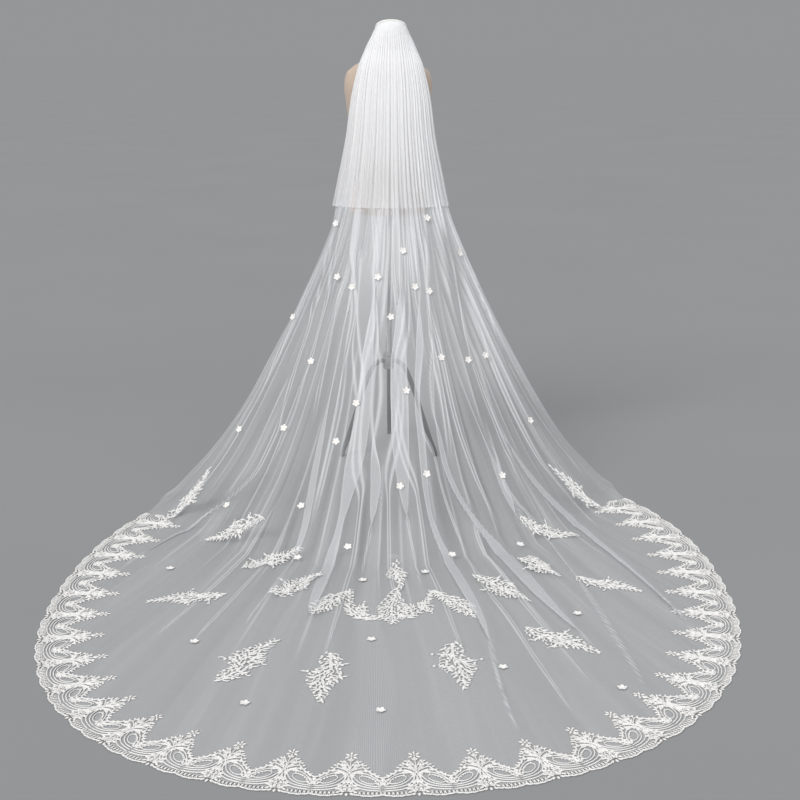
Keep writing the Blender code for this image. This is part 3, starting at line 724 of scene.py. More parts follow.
# The courses were picked; their places and widths were worked out from the picks.
CREASES = [
    Crease("middle panel, right of the pole", 1, 3.4, 0.008, stations(
        (0.116, 0.26, 0.004), (0.094, 0.41, 0.0086), (0.072, 0.49, 0.0178), (0.06, 0.54, 0.032),
        (0.054, 0.575, 0.0477), (0.05, 0.613, 0.0656), (0.047, 0.679, 0.0768),
        (0.045, 0.754, 0.0657), (0.048, 0.829, 0.0432), (0.053, 0.881, 0.0214),
        (0.059, 0.919, 0.0092), (0.072, 1.001, 0.003), (0.066, 1.139, 0.003),
    )),
    Crease("middle panel, left of the pole", -1, 3.2, 0.006, stations(
        (-0.095, 0.26, 0.004), (-0.075, 0.42, 0.0101), (-0.064, 0.491, 0.0191),
        (-0.059, 0.575, 0.0332), (-0.058, 0.65, 0.0427), (-0.055, 0.761, 0.0456),
        (-0.052, 0.843, 0.0345), (-0.054, 0.879, 0.0246), (-0.059, 0.921, 0.0133),
        (-0.067, 0.97, 0.0047), (-0.073, 1.06, 0.003),
    )),
    Crease("broad left panel", -1, 3.4, 0.009, stations(
        (-0.301, 0.26, 0.004), (-0.22, 0.4, 0.0098), (-0.178, 0.473, 0.0197),
        (-0.152, 0.566, 0.0458), (-0.144, 0.641, 0.0681), (-0.142, 0.701, 0.0738),
        (-0.142, 0.761, 0.0711), (-0.146, 0.821, 0.0568), (-0.15, 0.851, 0.0446),
        (-0.152, 0.881, 0.0315), (-0.155, 0.907, 0.025), (-0.158, 0.937, 0.0277),
        (-0.163, 0.97, 0.0371), (-0.165, 1.079, 0.0428), (-0.164, 1.201, 0.0344),
        (-0.164, 1.324, 0.0118),
    )),
    Crease("long left ribbon", -1, 2.8, 0.006, stations(
        (-0.507, 0.26, 0.0221), (-0.427, 0.383, 0.034), (-0.372, 0.447, 0.0308),
        (-0.344, 0.502, 0.0215), (-0.331, 0.549, 0.0162), (-0.321, 0.613, 0.0152),
        (-0.313, 0.716, 0.0192), (-0.301, 0.786, 0.0244), (-0.292, 0.828, 0.0274),
        (-0.279, 0.877, 0.0286), (-0.268, 0.928, 0.0257), (-0.269, 0.974, 0.0197),
        (-0.272, 1.03, 0.0152), (-0.272, 1.176, 0.0105), (-0.275, 1.287, 0.0074),
        (-0.278, 1.42, 0.003),
    )),
    Crease("left outline", 1, 2.2, 0.005, stations(
        (-0.936, 0.26, 0.01), (-0.966, 0.451, 0.016), (-0.919, 0.599, 0.0181),
        (-0.939, 0.741, 0.0179), (-0.94, 0.862, 0.0118), (-0.921, 0.947, 0.004),
    )),
    Crease("left ridge", 1, 2.2, 0.005, stations(
        (-0.734, 0.26, 0.003), (-0.627, 0.404, 0.0055), (-0.552, 0.497, 0.0134),
        (-0.528, 0.554, 0.0152), (-0.511, 0.61, 0.0133), (-0.503, 0.646, 0.0118),
        (-0.495, 0.707, 0.0104), (-0.494, 0.757, 0.0087), (-0.494, 0.805, 0.0061),
        (-0.492, 0.843, 0.003),
    )),
    Crease("outer left ridge", -1, 2.2, 0.006, stations(
        (-0.814, 0.26, 0.003), (-0.714, 0.43, 0.0044), (-0.626, 0.566, 0.0144),
        (-0.61, 0.62, 0.0146), (-0.589, 0.672, 0.0129), (-0.564, 0.727, 0.0124),
        (-0.552, 0.759, 0.0128), (-0.552, 0.824, 0.0134), (-0.579, 0.873, 0.0158),
        (-0.619, 0.916, 0.0198), (-0.671, 0.961, 0.0227), (-0.701, 1.13, 0.0214),
        (-0.705, 1.308, 0.0167), (-0.707, 1.543, 0.0054),
    )),
    Crease("short left ridge", 1, 2.2, 0.004, stations(
        (-0.513, 0.39, 0.003), (-0.447, 0.46, 0.0036), (-0.411, 0.532, 0.0051),
        (-0.405, 0.555, 0.0064), (-0.395, 0.6, 0.0082), (-0.382, 0.663, 0.0079),
        (-0.372, 0.707, 0.0058), (-0.363, 0.745, 0.003),
    )),
    Crease("upper left edge", 1, 2.2, 0.005, stations(
        (-0.336, 0.382, 0.0081), (-0.282, 0.446, 0.0185), (-0.257, 0.501, 0.019),
        (-0.246, 0.542, 0.0162), (-0.229, 0.616, 0.0115), (-0.218, 0.663, 0.009),
        (-0.204, 0.717, 0.0054), (-0.196, 0.747, 0.003),
    )),
    Crease("upper right edge", 1, 2.2, 0.005, stations(
        (0.397, 0.26, 0.0085), (0.349, 0.401, 0.0128), (0.3, 0.473, 0.0159),
        (0.278, 0.527, 0.0155), (0.268, 0.584, 0.0123), (0.264, 0.642, 0.0102),
        (0.257, 0.718, 0.0095), (0.248, 0.782, 0.0068), (0.242, 0.818, 0.003),
    )),
    Crease("long right panel", 1, 3.2, 0.008, stations(
        (0.3, 0.26, 0.004), (0.25, 0.42, 0.0098), (0.216, 0.493, 0.0163), (0.185, 0.577, 0.0309),
        (0.165, 0.643, 0.042), (0.151, 0.703, 0.0445), (0.142, 0.753, 0.037),
        (0.131, 0.811, 0.0273), (0.128, 0.85, 0.0217), (0.13, 0.896, 0.0207),
        (0.14, 0.932, 0.0259), (0.154, 0.966, 0.0315), (0.163, 0.993, 0.0349),
        (0.164, 1.08, 0.0379), (0.163, 1.181, 0.0374), (0.16, 1.303, 0.0297),
        (0.153, 1.409, 0.0194), (0.143, 1.506, 0.0115), (0.133, 1.596, 0.007),
        (0.126, 1.685, 0.0048), (0.122, 1.767, 0.0037), (0.12, 1.847, 0.003),
    )),
    Crease("broad right ribbon", 1, 3.4, 0.009, stations(
        (0.472, 0.26, 0.003), (0.378, 0.42, 0.0036), (0.317, 0.494, 0.005), (0.27, 0.569, 0.0111),
        (0.229, 0.664, 0.0157), (0.215, 0.73, 0.0189), (0.218, 0.803, 0.0234),
        (0.231, 0.846, 0.026), (0.246, 0.878, 0.0271), (0.26, 0.902, 0.0296),
        (0.282, 0.935, 0.0376), (0.309, 0.974, 0.0485), (0.321, 1.021, 0.0537),
        (0.319, 1.117, 0.0563), (0.316, 1.228, 0.0535), (0.314, 1.308, 0.0461),
        (0.314, 1.397, 0.034), (0.315, 1.489, 0.0205), (0.317, 1.572, 0.0091),
        (0.318, 1.623, 0.003),
    )),
    Crease("right ridge", -1, 2.4, 0.006, stations(
        (0.513, 0.26, 0.0137), (0.447, 0.421, 0.0153), (0.401, 0.496, 0.0149),
        (0.383, 0.562, 0.0147), (0.387, 0.62, 0.0147), (0.403, 0.677, 0.0152),
        (0.419, 0.741, 0.0161), (0.427, 0.803, 0.0181), (0.428, 0.843, 0.0239),
        (0.426, 0.877, 0.0303), (0.423, 0.904, 0.0305), (0.421, 0.928, 0.0242),
        (0.419, 0.957, 0.0114), (0.416, 0.974, 0.003),
    )),
    Crease("outer right ridge", 1, 2.2, 0.005, stations(
        (0.803, 0.26, 0.006), (0.694, 0.425, 0.015), (0.589, 0.5, 0.018), (0.533, 0.567, 0.0187),
        (0.515, 0.62, 0.0148), (0.514, 0.689, 0.014), (0.515, 0.741, 0.0143),
        (0.512, 0.782, 0.0139), (0.504, 0.84, 0.0106), (0.49, 0.896, 0.003),
    )),
    Crease("right outline", 1, 2.2, 0.005, stations(
        (0.938, 0.26, 0.008), (0.953, 0.451, 0.0085), (0.885, 0.549, 0.0095),
        (0.865, 0.62, 0.0125), (0.863, 0.7, 0.018), (0.871, 0.781, 0.021), (0.875, 0.861, 0.018),
        (0.865, 0.919, 0.012), (0.857, 0.969, 0.004),
    )),
    Crease("outer right ribbon", 1, 3.0, 0.008, stations(
        (0.728, 0.4, 0.003), (0.622, 0.5, 0.0041), (0.563, 0.6, 0.0045), (0.535, 0.761, 0.0114),
        (0.547, 0.815, 0.0231), (0.559, 0.851, 0.031), (0.569, 0.88, 0.0368),
        (0.58, 0.906, 0.0421), (0.598, 0.937, 0.047), (0.616, 0.972, 0.0483),
        (0.619, 1.025, 0.0464), (0.604, 1.16, 0.0435), (0.588, 1.314, 0.0402),
        (0.576, 1.426, 0.0373), (0.56, 1.556, 0.0327), (0.546, 1.658, 0.0269),
        (0.531, 1.74, 0.0195), (0.515, 1.823, 0.0093), (0.505, 1.871, 0.003),
    )),
    Crease("train ridge", 1, 2.4, 0.006, stations(
        (0.174, 0.72, 0.003), (0.186, 0.84, 0.0035), (0.2, 0.934, 0.004), (0.21, 0.972, 0.0071),
        (0.214, 1.046, 0.011), (0.21, 1.138, 0.0135), (0.209, 1.226, 0.0138),
        (0.208, 1.315, 0.0121), (0.207, 1.422, 0.0098), (0.205, 1.541, 0.0085),
        (0.204, 1.637, 0.0078), (0.203, 1.72, 0.0064), (0.202, 1.822, 0.003),
    )),
    Crease("outer train ridge", 1, 2.4, 0.006, stations(
        (0.466, 0.72, 0.003), (0.459, 0.82, 0.0031), (0.462, 0.911, 0.0052),
        (0.472, 0.949, 0.0104), (0.48, 0.999, 0.0165), (0.462, 1.099, 0.0181),
        (0.436, 1.244, 0.0174), (0.42, 1.335, 0.0156), (0.402, 1.43, 0.0135),
        (0.385, 1.523, 0.0115), (0.368, 1.615, 0.01), (0.356, 1.685, 0.0089),
        (0.341, 1.768, 0.0067), (0.328, 1.842, 0.003),
    )),
    Crease("middle ridge", 1, 2.2, 0.004, stations(
        (0.015, 0.26, 0.0077), (0.002, 0.418, 0.015), (-0.008, 0.491, 0.0115),
        (-0.018, 0.547, 0.0073), (-0.024, 0.584, 0.0037),
    )),
    Crease("upper right ridge", 1, 2.2, 0.004, stations(
        (0.181, 0.26, 0.0079), (0.148, 0.418, 0.0135), (0.123, 0.51, 0.0112),
        (0.114, 0.566, 0.0081), (0.106, 0.632, 0.0053), (0.1, 0.679, 0.003),
    )),
    Crease("upper left ribbon", -1, 2.4, 0.005, stations(
        (-0.18, 0.26, 0.0117), (-0.145, 0.4, 0.0238), (-0.132, 0.445, 0.0258),
        (-0.117, 0.51, 0.0233), (-0.113, 0.575, 0.0179), (-0.115, 0.631, 0.0118),
        (-0.121, 0.688, 0.007), (-0.126, 0.735, 0.0036),
    )),
    Crease("far left ridge", 1, 2.2, 0.004, stations(
        (-0.869, 0.4, 0.003), (-0.834, 0.6, 0.006), (-0.8, 0.8, 0.008), (-0.798, 0.987, 0.0058),
        (-0.76, 1.217, 0.004),
    )),
    Crease("left ridge by the ribbon", -1, 2.2, 0.004, stations(
        (-0.399, 0.26, 0.003), (-0.3, 0.5, 0.005), (-0.265, 0.65, 0.006), (-0.25, 0.8, 0.0059),
        (-0.235, 0.93, 0.003),
    )),
    Crease("left ridge on the train", 1, 2.4, 0.006, stations(
        (-0.392, 0.859, 0.003), (-0.414, 0.982, 0.0073), (-0.413, 1.152, 0.0087),
        (-0.418, 1.378, 0.0078), (-0.428, 1.598, 0.004),
    )),
    Crease("low left ridge", -1, 2.4, 0.005, stations(
        (-0.33, 0.9, 0.003), (-0.34, 1.05, 0.007), (-0.345, 1.3, 0.008), (-0.35, 1.56, 0.004),
    )),
    Crease("middle ridge on the train", 1, 2.2, 0.005, stations(
        (-0.005, 0.62, 0.003), (-0.005, 0.8, 0.006), (0.0, 1.0, 0.006), (0.004, 1.25, 0.004),
    )),
    Crease("ridge left of the middle", -1, 2.4, 0.006, stations(
        (-0.105, 0.6, 0.003), (-0.1, 0.75, 0.006), (-0.099, 0.92, 0.0091), (-0.104, 1.1, 0.0097),
        (-0.108, 1.34, 0.0062), (-0.112, 1.5, 0.003),
    )),
    Crease("ridge right of the middle", 1, 2.4, 0.006, stations(
        (0.097, 0.66, 0.003), (0.091, 0.8, 0.006), (0.101, 0.95, 0.0091), (0.104, 1.15, 0.0097),
        (0.098, 1.399, 0.0062), (0.095, 1.55, 0.003),
    )),
    Crease("right ridge by the panel", 1, 2.2, 0.005, stations(
        (0.349, 0.26, 0.003), (0.311, 0.5, 0.005), (0.307, 0.68, 0.007), (0.325, 0.85, 0.0069),
        (0.358, 0.989, 0.004),
    )),
    Crease("low right ridge", 1, 2.4, 0.006, stations(
        (0.249, 0.899, 0.003), (0.268, 1.055, 0.008), (0.26, 1.298, 0.0088),
        (0.26, 1.548, 0.0062), (0.259, 1.751, 0.003),
    )),
    Crease("far right ridge", -1, 2.2, 0.004, stations(
        (0.697, 0.5, 0.003), (0.662, 0.66, 0.006), (0.662, 0.82, 0.0071), (0.688, 0.976, 0.0057),
        (0.664, 1.127, 0.004),
    )),
    Crease("outer far right ridge", 1, 2.2, 0.004, stations(
        (0.76, 0.6, 0.003), (0.755, 0.78, 0.006), (0.765, 0.95, 0.006), (0.775, 1.12, 0.003),
    )),
    Crease("short middle ridge", 1, 2.2, 0.003, stations(
        (0.045, 0.26, 0.003), (0.038, 0.45, 0.005), (0.03, 0.56, 0.003),
    )),
    Crease("short left ridge by the middle", -1, 2.2, 0.003, stations(
        (-0.05, 0.26, 0.003), (-0.04, 0.42, 0.005), (-0.036, 0.52, 0.003),
    )),
    Crease("upper ridge right of the middle", 1, 2.2, 0.003, stations(
        (0.24, 0.26, 0.003), (0.19, 0.45, 0.005), (0.16, 0.58, 0.004),
    )),
]


@dataclass(frozen=True)
class VeilSizes:
    """Sizes that the long tier's surface is worked out from."""

    pleats: int = 34
    pleat_wander: float = 0.30      # how unevenly they are spaced, in pleats
    pleat_share: float = 0.55       # the shallowest one's depth, as a share of the deepest's
    arc_top: float = 95.0           # degrees from the middle to a side edge, at the header
    arc_floor: float = 80.0         # the same where the arc has settled
    sway: float = 0.012             # how far the whole fall hangs towards +X
    settled: float = 0.25           # share of the fall over which the arc settles
    train_turn: float = 0.08        # how much further forward it lies for a metre towards +X
    train_centre: tuple[float, float] = (0.026, -1.500)
    train_half_width: float = 1.039
    train_behind: float = 1.192     # from its centre to the hem behind
    train_ahead: float = 1.300      # the same towards the form
    train_squareness: float = 2.25  # 2 is an ellipse
    train_slant: float = 0.030      # how far it leans to one side behind
    train_start: float = -119.0     # degrees round its centre, at which the hem begins
    train_end: float = 128.0
    hem_inset: float = 0.014        # from the lace's outer line to the tulle's edge
    folds_settle: float = 0.350     # height from which the pleats turn into the running folds
    calm_from: float = 0.42         # place across from which the low pleats die away
    calm_over: float = 0.24         # over how much more of the width
    reach_low: float = 0.28         # how much of the way to the hem an ordinary pleat goes
    off_floor: float = 0.0004


class VeilSurface:
    """The long tier as a function of two places: across, -1 to 1, and down, 0 to 2."""

    LEAST_TURN = 2.2          # of a crease that still folds over
    FOLDED = (0.72, 0.80)     # its doubled width in bell widths, and how that grows with the turn
    EDGE_AT = (0.465, 0.08)   # where a crease's edges lie in its bell, and how that grows
    EDGE = 0.018              # how far a crease's bright edge spreads
    NARROWEST = 0.004         # bell of a crease
    ENDS = (0.06, 0.10)       # down the cloth, over which a crease begins and ends
    UPPERMOST = 2e-3          # how much a metre of height counts beside a square metre of distance

    def __init__(self, sizes: VeilSizes = VeilSizes()) -> None:
        """Works out the sections' places down the cloth and each pleat's height and reach."""
        self.sizes = sizes
        self.table = np.array(FALL)
        run = run_of(self.table[:, [0, 2]])
        self.slope_length = float(run[-1])
        self.knots = run / run[-1]
        self.grid: Array | None = None
        self._place_pleats()

    def _place_pleats(self) -> None:
        """Two places a pleat, trough and crest, and which pleats run out over the train."""
        sizes = self.sizes
        self.index = np.arange(2 * sizes.pleats + 1)
        step = 1.0 / sizes.pleats
        wander = sizes.pleat_wander * step * (2 * uneven(self.index, 0.13) - 1)
        wander[0] = wander[-1] = 0.0
        self.places = -1.0 + step * self.index + wander
        crests = self.places[1::2]
        self.share = sizes.pleat_share + (1 - sizes.pleat_share) * uneven(self.index[1::2], 0.37)
        self.rise = np.zeros(sizes.pleats)
        self.reach = np.full(sizes.pleats, sizes.reach_low)
        for fold in RUNNING_FOLDS:
            nearest = int(np.argmin(np.abs(crests - fold.across)))
            self.rise[nearest], self.reach[nearest] = fold.height, fold.reach

    def section(self, down: Array) -> list[Array]:
        """Height, half width, middle, edge, drop and pleat depth at places down the fall."""
        rows = monotone_curve(self.knots, self.table, np.clip(down, 0.0, 1.0))
        return [rows[..., k] for k in range(rows.shape[-1])]

    def hem(self, across: Array, inset: float) -> Array:
        """Points of the train's outline, moved in by inset.

        The outline is a superellipse about the train's centre: each of its two halves' sine
        and cosine is raised to 2 over its squareness, and it leans to one side behind.
        """
        sizes = self.sizes
        turn = sizes.train_start + (sizes.train_end - sizes.train_start) * (across + 1) / 2
        side = blunted(np.sin(np.radians(turn)), sizes.train_squareness)
        back = blunted(np.cos(np.radians(turn)), sizes.train_squareness)
        reach = np.where(back > 0, sizes.train_behind, sizes.train_ahead)
        x = sizes.train_centre[0] + (sizes.train_half_width - inset) * side
        x = x - sizes.train_slant * reach * back
        return np.stack([x, sizes.train_centre[1] - (reach - inset) * back], axis=-1)

    def smooth(self, across: Array, down: Array) -> Array:
        """The surface without its pleats.

        Each section of the fall is an arc: across turns into an angle, whose sine gives the
        place aside and whose cosine the place behind. On the floor, straight lines go from
        the last section to the hem.
        """
        sizes = self.sizes
        across, down = np.broadcast_arrays(np.asarray(across, float), np.asarray(down, float))
        height, half_width, middle, edge, drop, _ = self.section(down)
        fallen = 1.0 - height / self.table[0, 0]
        arc = np.radians(
            sizes.arc_top + (sizes.arc_floor - sizes.arc_top) * ease(fallen / sizes.settled)
        )
        angle = across * arc
        x = half_width * np.sin(angle) / np.sin(arc)
        behind = (np.cos(angle) - np.cos(arc)) / (1 - np.cos(arc))
        y = sizes.train_turn * ease(fallen) * x - (edge + (middle - edge) * behind)
        x, z = x + sizes.sway, height - drop * (1 - behind)
        out = np.clip(down - 1.0, 0.0, 1.2)
        hem = self.hem(across, sizes.hem_inset)
        x = x + (hem[..., 0] - x) * out
        y = y + (hem[..., 1] - y) * out
        return np.stack([x, y, z + sizes.off_floor], axis=-1)

    def ways(self, across: Array, down: Array) -> tuple[Array, Array, Array]:
        """The way across and the way out, both of unit length, and metres per unit across."""
        step, fall = 1e-3, 0.012
        along = self.smooth(across + step, down) - self.smooth(across - step, down)
        low, high = np.clip(down - fall, 0, 2), np.clip(down + fall, 0, 2)
        run = self.smooth(across, high) - self.smooth(across, low)
        return unit(along), unit(np.cross(run, along)), np.linalg.norm(along, axis=-1) / (2 * step)

    def pleat_place(self, across: Array) -> Array:
        """Places counted in troughs and crests: a trough at each even number."""
        return np.interp(across, self.places, self.index.astype(float))

    def pleat_heights(self, across: Array, down: Array) -> Array:
        """How far the pleats stand out.

        A pleat's crest is a squared sine between its two troughs, as deep as its section
        says times its own share. Near the floor the outer ones die away, and on the train
        each one sinks, sooner or later, by its reach.
        """
        sizes = self.sizes
        across, down = np.broadcast_arrays(np.asarray(across, float), np.asarray(down, float))
        place = self.pleat_place(across)
        number = np.minimum((place / 2).astype(int), sizes.pleats - 1)
        crest = np.sin(np.pi * place / 2) ** 2
        height, _, _, _, _, depth = self.section(down)
        low = ease(1 - height / sizes.folds_settle)
        calm = ease((np.abs(across) - sizes.calm_from) / sizes.calm_over)
        hanging = depth * self.share[number] * (1 - low * calm)
        rise = self.rise[number]
        hanging = np.where(rise > 0, np.maximum(hanging * (1 - low), rise * low), hanging)
        lying = 1 - ease(np.clip(down - 1, 0, 2) / self.reach[number])
        return hanging * crest * lying

    def gathers(self, across: Array, down: Array) -> Array:
        """Fine gathers between the pleats, deepest just under the header."""
        place = self.pleat_place(across) * 1.5
        fine = np.sin(np.pi * place) ** 2 * (0.35 + 0.65 * uneven(np.floor(place), 0.27))
        depth = 0.0022 * ease(down / 0.05) * (1 - ease((down - 0.12) / 0.75))
        return fine * depth

    def crease_moves(self, across: Array, down: Array, stretch: Array) -> tuple[Array, ...]:
        """What the creases do to the cloth.

        Across a crease the cloth moves back by the distance times a bell of it, so that it
        doubles back where that is steeper than the cloth itself. Its upper side stands up
        and sinks again beyond. Where a crease is narrow it is only a ridge.

        Args:
            across: Places across the cloth.
            down: Places down it.
            stretch: Metres per unit across.

        Returns:
            A move across in metres, a rise, the creases' bright edges from 0 to 1, and how
            flat they leave the cloth, from 0 to 1.
        """
        shift = np.zeros(np.broadcast(across, down).shape)
        rise, line, flat = shift.copy(), shift.copy(), shift.copy()
        for crease in CREASES:
            course = np.array(crease.course)
            begin, end = course[0, 1], course[-1, 1]
            at = np.clip(down, begin, end)
            middle, wide = np.moveaxis(monotone_curve(course[:, 1], course[:, ::2], at), -1, 0)
            sharper = crease.turn - self.LEAST_TURN
            doubled = self.FOLDED[0] + self.FOLDED[1] * sharper
            bell_width = np.maximum(wide / doubled, self.NARROWEST)
            fade = ((down >= begin) & (down <= end)) * ease((down - begin) / self.ENDS[0])
            fade = fade * ease((end - down) / self.ENDS[1])
            over = ease((wide - 0.009) / 0.014)
            t = (across - middle) * stretch / bell_width
            shift -= fade * over * crease.turn * bell_width * t * bell(t)
            upper = 0.5 + 0.5 * np.tanh(2.2 * crease.side * t)
            upper = upper * bell(np.maximum(crease.side * t - 0.6, 0) / 1.5)
            rise += fade * crease.rise * (over * upper + 0.6 * (1 - over) * bell(0.6 * t))
            edge = self.EDGE_AT[0] + self.EDGE_AT[1] * sharper
            line += fade * bell((np.abs(t) - edge) * np.sqrt(bell_width) / self.EDGE)
            within = bell(np.maximum(np.abs(t) - 0.9, 0) / 0.8)
            flat = np.maximum(flat, fade * ease(over / 0.3) * within)
        return shift, rise, line, flat

    def folded(self, across: Array, down: Array, lift: float = 0.0, doubled: bool = True) -> Array:
        """The surface with its pleats, gathers and creases, lift metres above the cloth.

        Without doubling back, the creases only rise.
        """
        there, rise, _, flat = self.settled(across, down)
        there = there if doubled else np.broadcast_to(across, there.shape)
        pleats = self.pleat_heights(there, down) + self.gathers(there, down)
        rise = rise + pleats * (1 - flat) + lift
        _, out, _ = self.ways(there, down)
        return self.smooth(there, down) + out * rise[..., None]

    def settled(self, across: Array, down: Array) -> tuple[Array, ...]:
        """Where the creases take the cloth across, its rise, their bright edges and flatness.

        The pleats stay where they are in the air and the cloth runs over them, so that a
        wide crease leaves its neighbours straight. In its own reach it lies flat.
        """
        _, _, stretch = self.ways(across, down)
        shift, rise, line, flat = self.crease_moves(across, down, stretch)
        return np.clip(across + shift / stretch, -1.0, 1.0), rise, line, flat

    def solve(self, target: Array, axes: tuple[int, int],
              start: tuple[float, float]) -> tuple[Array, Array]:
        """Places across and down of points seen along one axis, by Newton's method.

        Args:
            target: Points x 2, their places on the two axes, from the pole.
            axes: Which two of x, y and z are given.
            start: A place across and down near all of them.

        Returns:
            The points' places across, and their places down.
        """
        a = np.full(target.shape[:-1], start[0])
        d = np.full(target.shape[:-1], start[1])
        step, furthest, rounds = 1e-4, 0.15, 14
        for _ in range(rounds):
            here = self.smooth(a, d)[..., axes]
            by_a = (self.smooth(a + step, d)[..., axes] - here) / step
            by_d = (self.smooth(a, d + step)[..., axes] - here) / step
            miss = target - here
            size = by_a[..., 0] * by_d[..., 1] - by_a[..., 1] * by_d[..., 0]
            size = np.where(np.abs(size) < 1e-6, 1e-6, size)
            move_a = (miss[..., 0] * by_d[..., 1] - miss[..., 1] * by_d[..., 0]) / size
            move_d = (miss[..., 1] * by_a[..., 0] - miss[..., 0] * by_a[..., 1]) / size
            a = np.clip(a + np.clip(move_a, -furthest, furthest), -1.0, 1.0)
            d = np.clip(d + np.clip(move_d, -furthest, furthest), 0.0, 2.0)
        return a, d

    def find(self, target: Sequence[float], axes: tuple[int, int]) -> tuple[float, float]:
        """A point's place on the smooth cloth: the nearest of a coarse grid, made exact."""
        across, down = np.meshgrid(np.linspace(-1, 1, 81), np.linspace(0.05, 1.98, 90))
        aside = self.smooth(across, down)[..., axes] - np.array(target)
        nearest = np.argmin(np.square(aside).sum(axis=-1))
        start = (float(across.flat[nearest]), float(down.flat[nearest]))
        a, d = self.solve(np.array([target], dtype=float), axes, start)
        return float(a[0]), float(d[0])

    def uppermost(self, target: Sequence[float], axes: tuple[int, int]) -> tuple[float, float]:
        """The place nearest a point on the doubled cloth, of a fine grid's, on the top layer."""
        across, down = np.meshgrid(np.linspace(-1, 1, 1201), np.linspace(0.05, 1.98, 400))
        if self.grid is None:
            self.grid = self.folded(across, down)
        aside = np.square(self.grid[..., axes] - np.array(target)).sum(axis=-1)
        above = self.grid[..., 2] if axes[1] == 1 else -self.grid[..., 1]
        nearest = np.argmin(aside - self.UPPERMOST * above)
        return float(across.flat[nearest]), float(down.flat[nearest])


# ---- cloth pieces
def slant(points: Array, out: Array) -> Array:
    """How much more cloth a look along out passes where the real surface leans from it."""
    real = unit(np.cross(np.gradient(points, axis=0), np.gradient(points, axis=1)))
    more = 1 / np.clip(np.abs((real * out).sum(axis=-1)), 0.25, 1)
    return more / more.mean(axis=1, keepdims=True)


@dataclass(frozen=True)
class LongTier:
    """The long sheer tier with its train."""

    columns: int = 740
    fall_rows: int = 88
    train_rows: int = 42
    flat: tuple[float, float] = (2.20, 3.75)  # the cut's width and length
    flat_area: float = 6.2
    train_length: float = 1.40
    edge_layers: float = 3.0                  # more layers of net at a crease's edges
    crest_layers: float = 2.0                 # the same on the pleats' crests

    # Places down the cloth, and how many layers of net it is gathered to there.
    THICKNESS = (
        (0.00, 5.0), (0.28, 4.8), (0.36, 4.4), (0.42, 3.2), (0.50, 2.0), (0.58, 1.30),
        (0.70, 0.90), (0.88, 0.90), (1.02, 1.25), (1.30, 1.65), (2.00, 1.75),
    )

    def across(self) -> Array:
        """Places of the columns: closer together where the creases are.

        They are even steps of the running total of 1 plus a bell about each crease.
        """
        fine = np.linspace(-1, 1, 4001)
        weight = np.ones_like(fine)
        for crease in CREASES:
            for station in crease.course:
                weight += 1.2 / len(crease.course) * bell((fine - station.across) / 0.02)
        total = np.concatenate([[0], np.cumsum((weight[1:] + weight[:-1]) / 2)])
        return np.interp(np.linspace(0, total[-1], self.columns), total, fine)

    def build(self, surface: VeilSurface, material: bpy.types.Material) -> bpy.types.Object:
        """Builds the tier in place of its plain solid: rows down the fall, then the train."""
        across = self.across()[None, :]
        hang = np.linspace(0, 1, self.fall_rows, endpoint=False)
        lie = 1 + np.linspace(0, 1, self.train_rows)
        down = np.concatenate([hang, lie])[:, None]
        points = surface.folded(across, down) + POLE
        quads = grid_quads(*points.shape[:2])
        piece = add_piece("long_tier_tulle", points, quads, material, "long_tier")
        store_values(piece, "layers", self.layers(surface, points, across, down))
        fallen, lying = np.minimum(down, 1), np.maximum(down - 1, 0)
        length = fallen * surface.slope_length + lying * self.train_length
        store_uv(piece, across * self.flat[0] / 2, -length)
        return piece

    def layers(self, surface: VeilSurface, points: Array, across: Array, down: Array) -> Array:
        """How many layers of net a look straight through the cloth passes at each point.

        It is the tier's own thickness on that row, over the slant of the pleat's flank and
        with its finest gathers and strips, and with the edges of creases and crests added.
        """
        _, out, _ = surface.ways(across, down)
        there, _, line, flat = surface.settled(across, down)
        place = surface.pleat_place(there)
        bright = 0.25 + 0.75 * uneven(np.floor(place / 2), 0.91)
        crest = np.sin(np.pi * place / 2) ** 2
        height = surface.pleat_heights(there, down) * (1 - flat)
        ridge = crest**36 * bright * ease(height / 0.006) * ease((down - 0.3) / 0.1)
        body = np.interp(down, *np.array(self.THICKNESS).T) * slant(points, out) ** 0.6
        aside = ease((np.abs(across) - 0.15) / 0.40)
        body = body * (1 - 0.5 * aside * bell((down - 0.40) / 0.13))
        open_air = 0.45 + 0.55 * ease((down - 0.28) / 0.08)
        streaked = streaks(there, down) * strips(there, down)
        grain = 1 + (streaked - 1) * (1 - flat) * open_air
        return body * grain + self.edge_layers * line + self.crest_layers * ridge


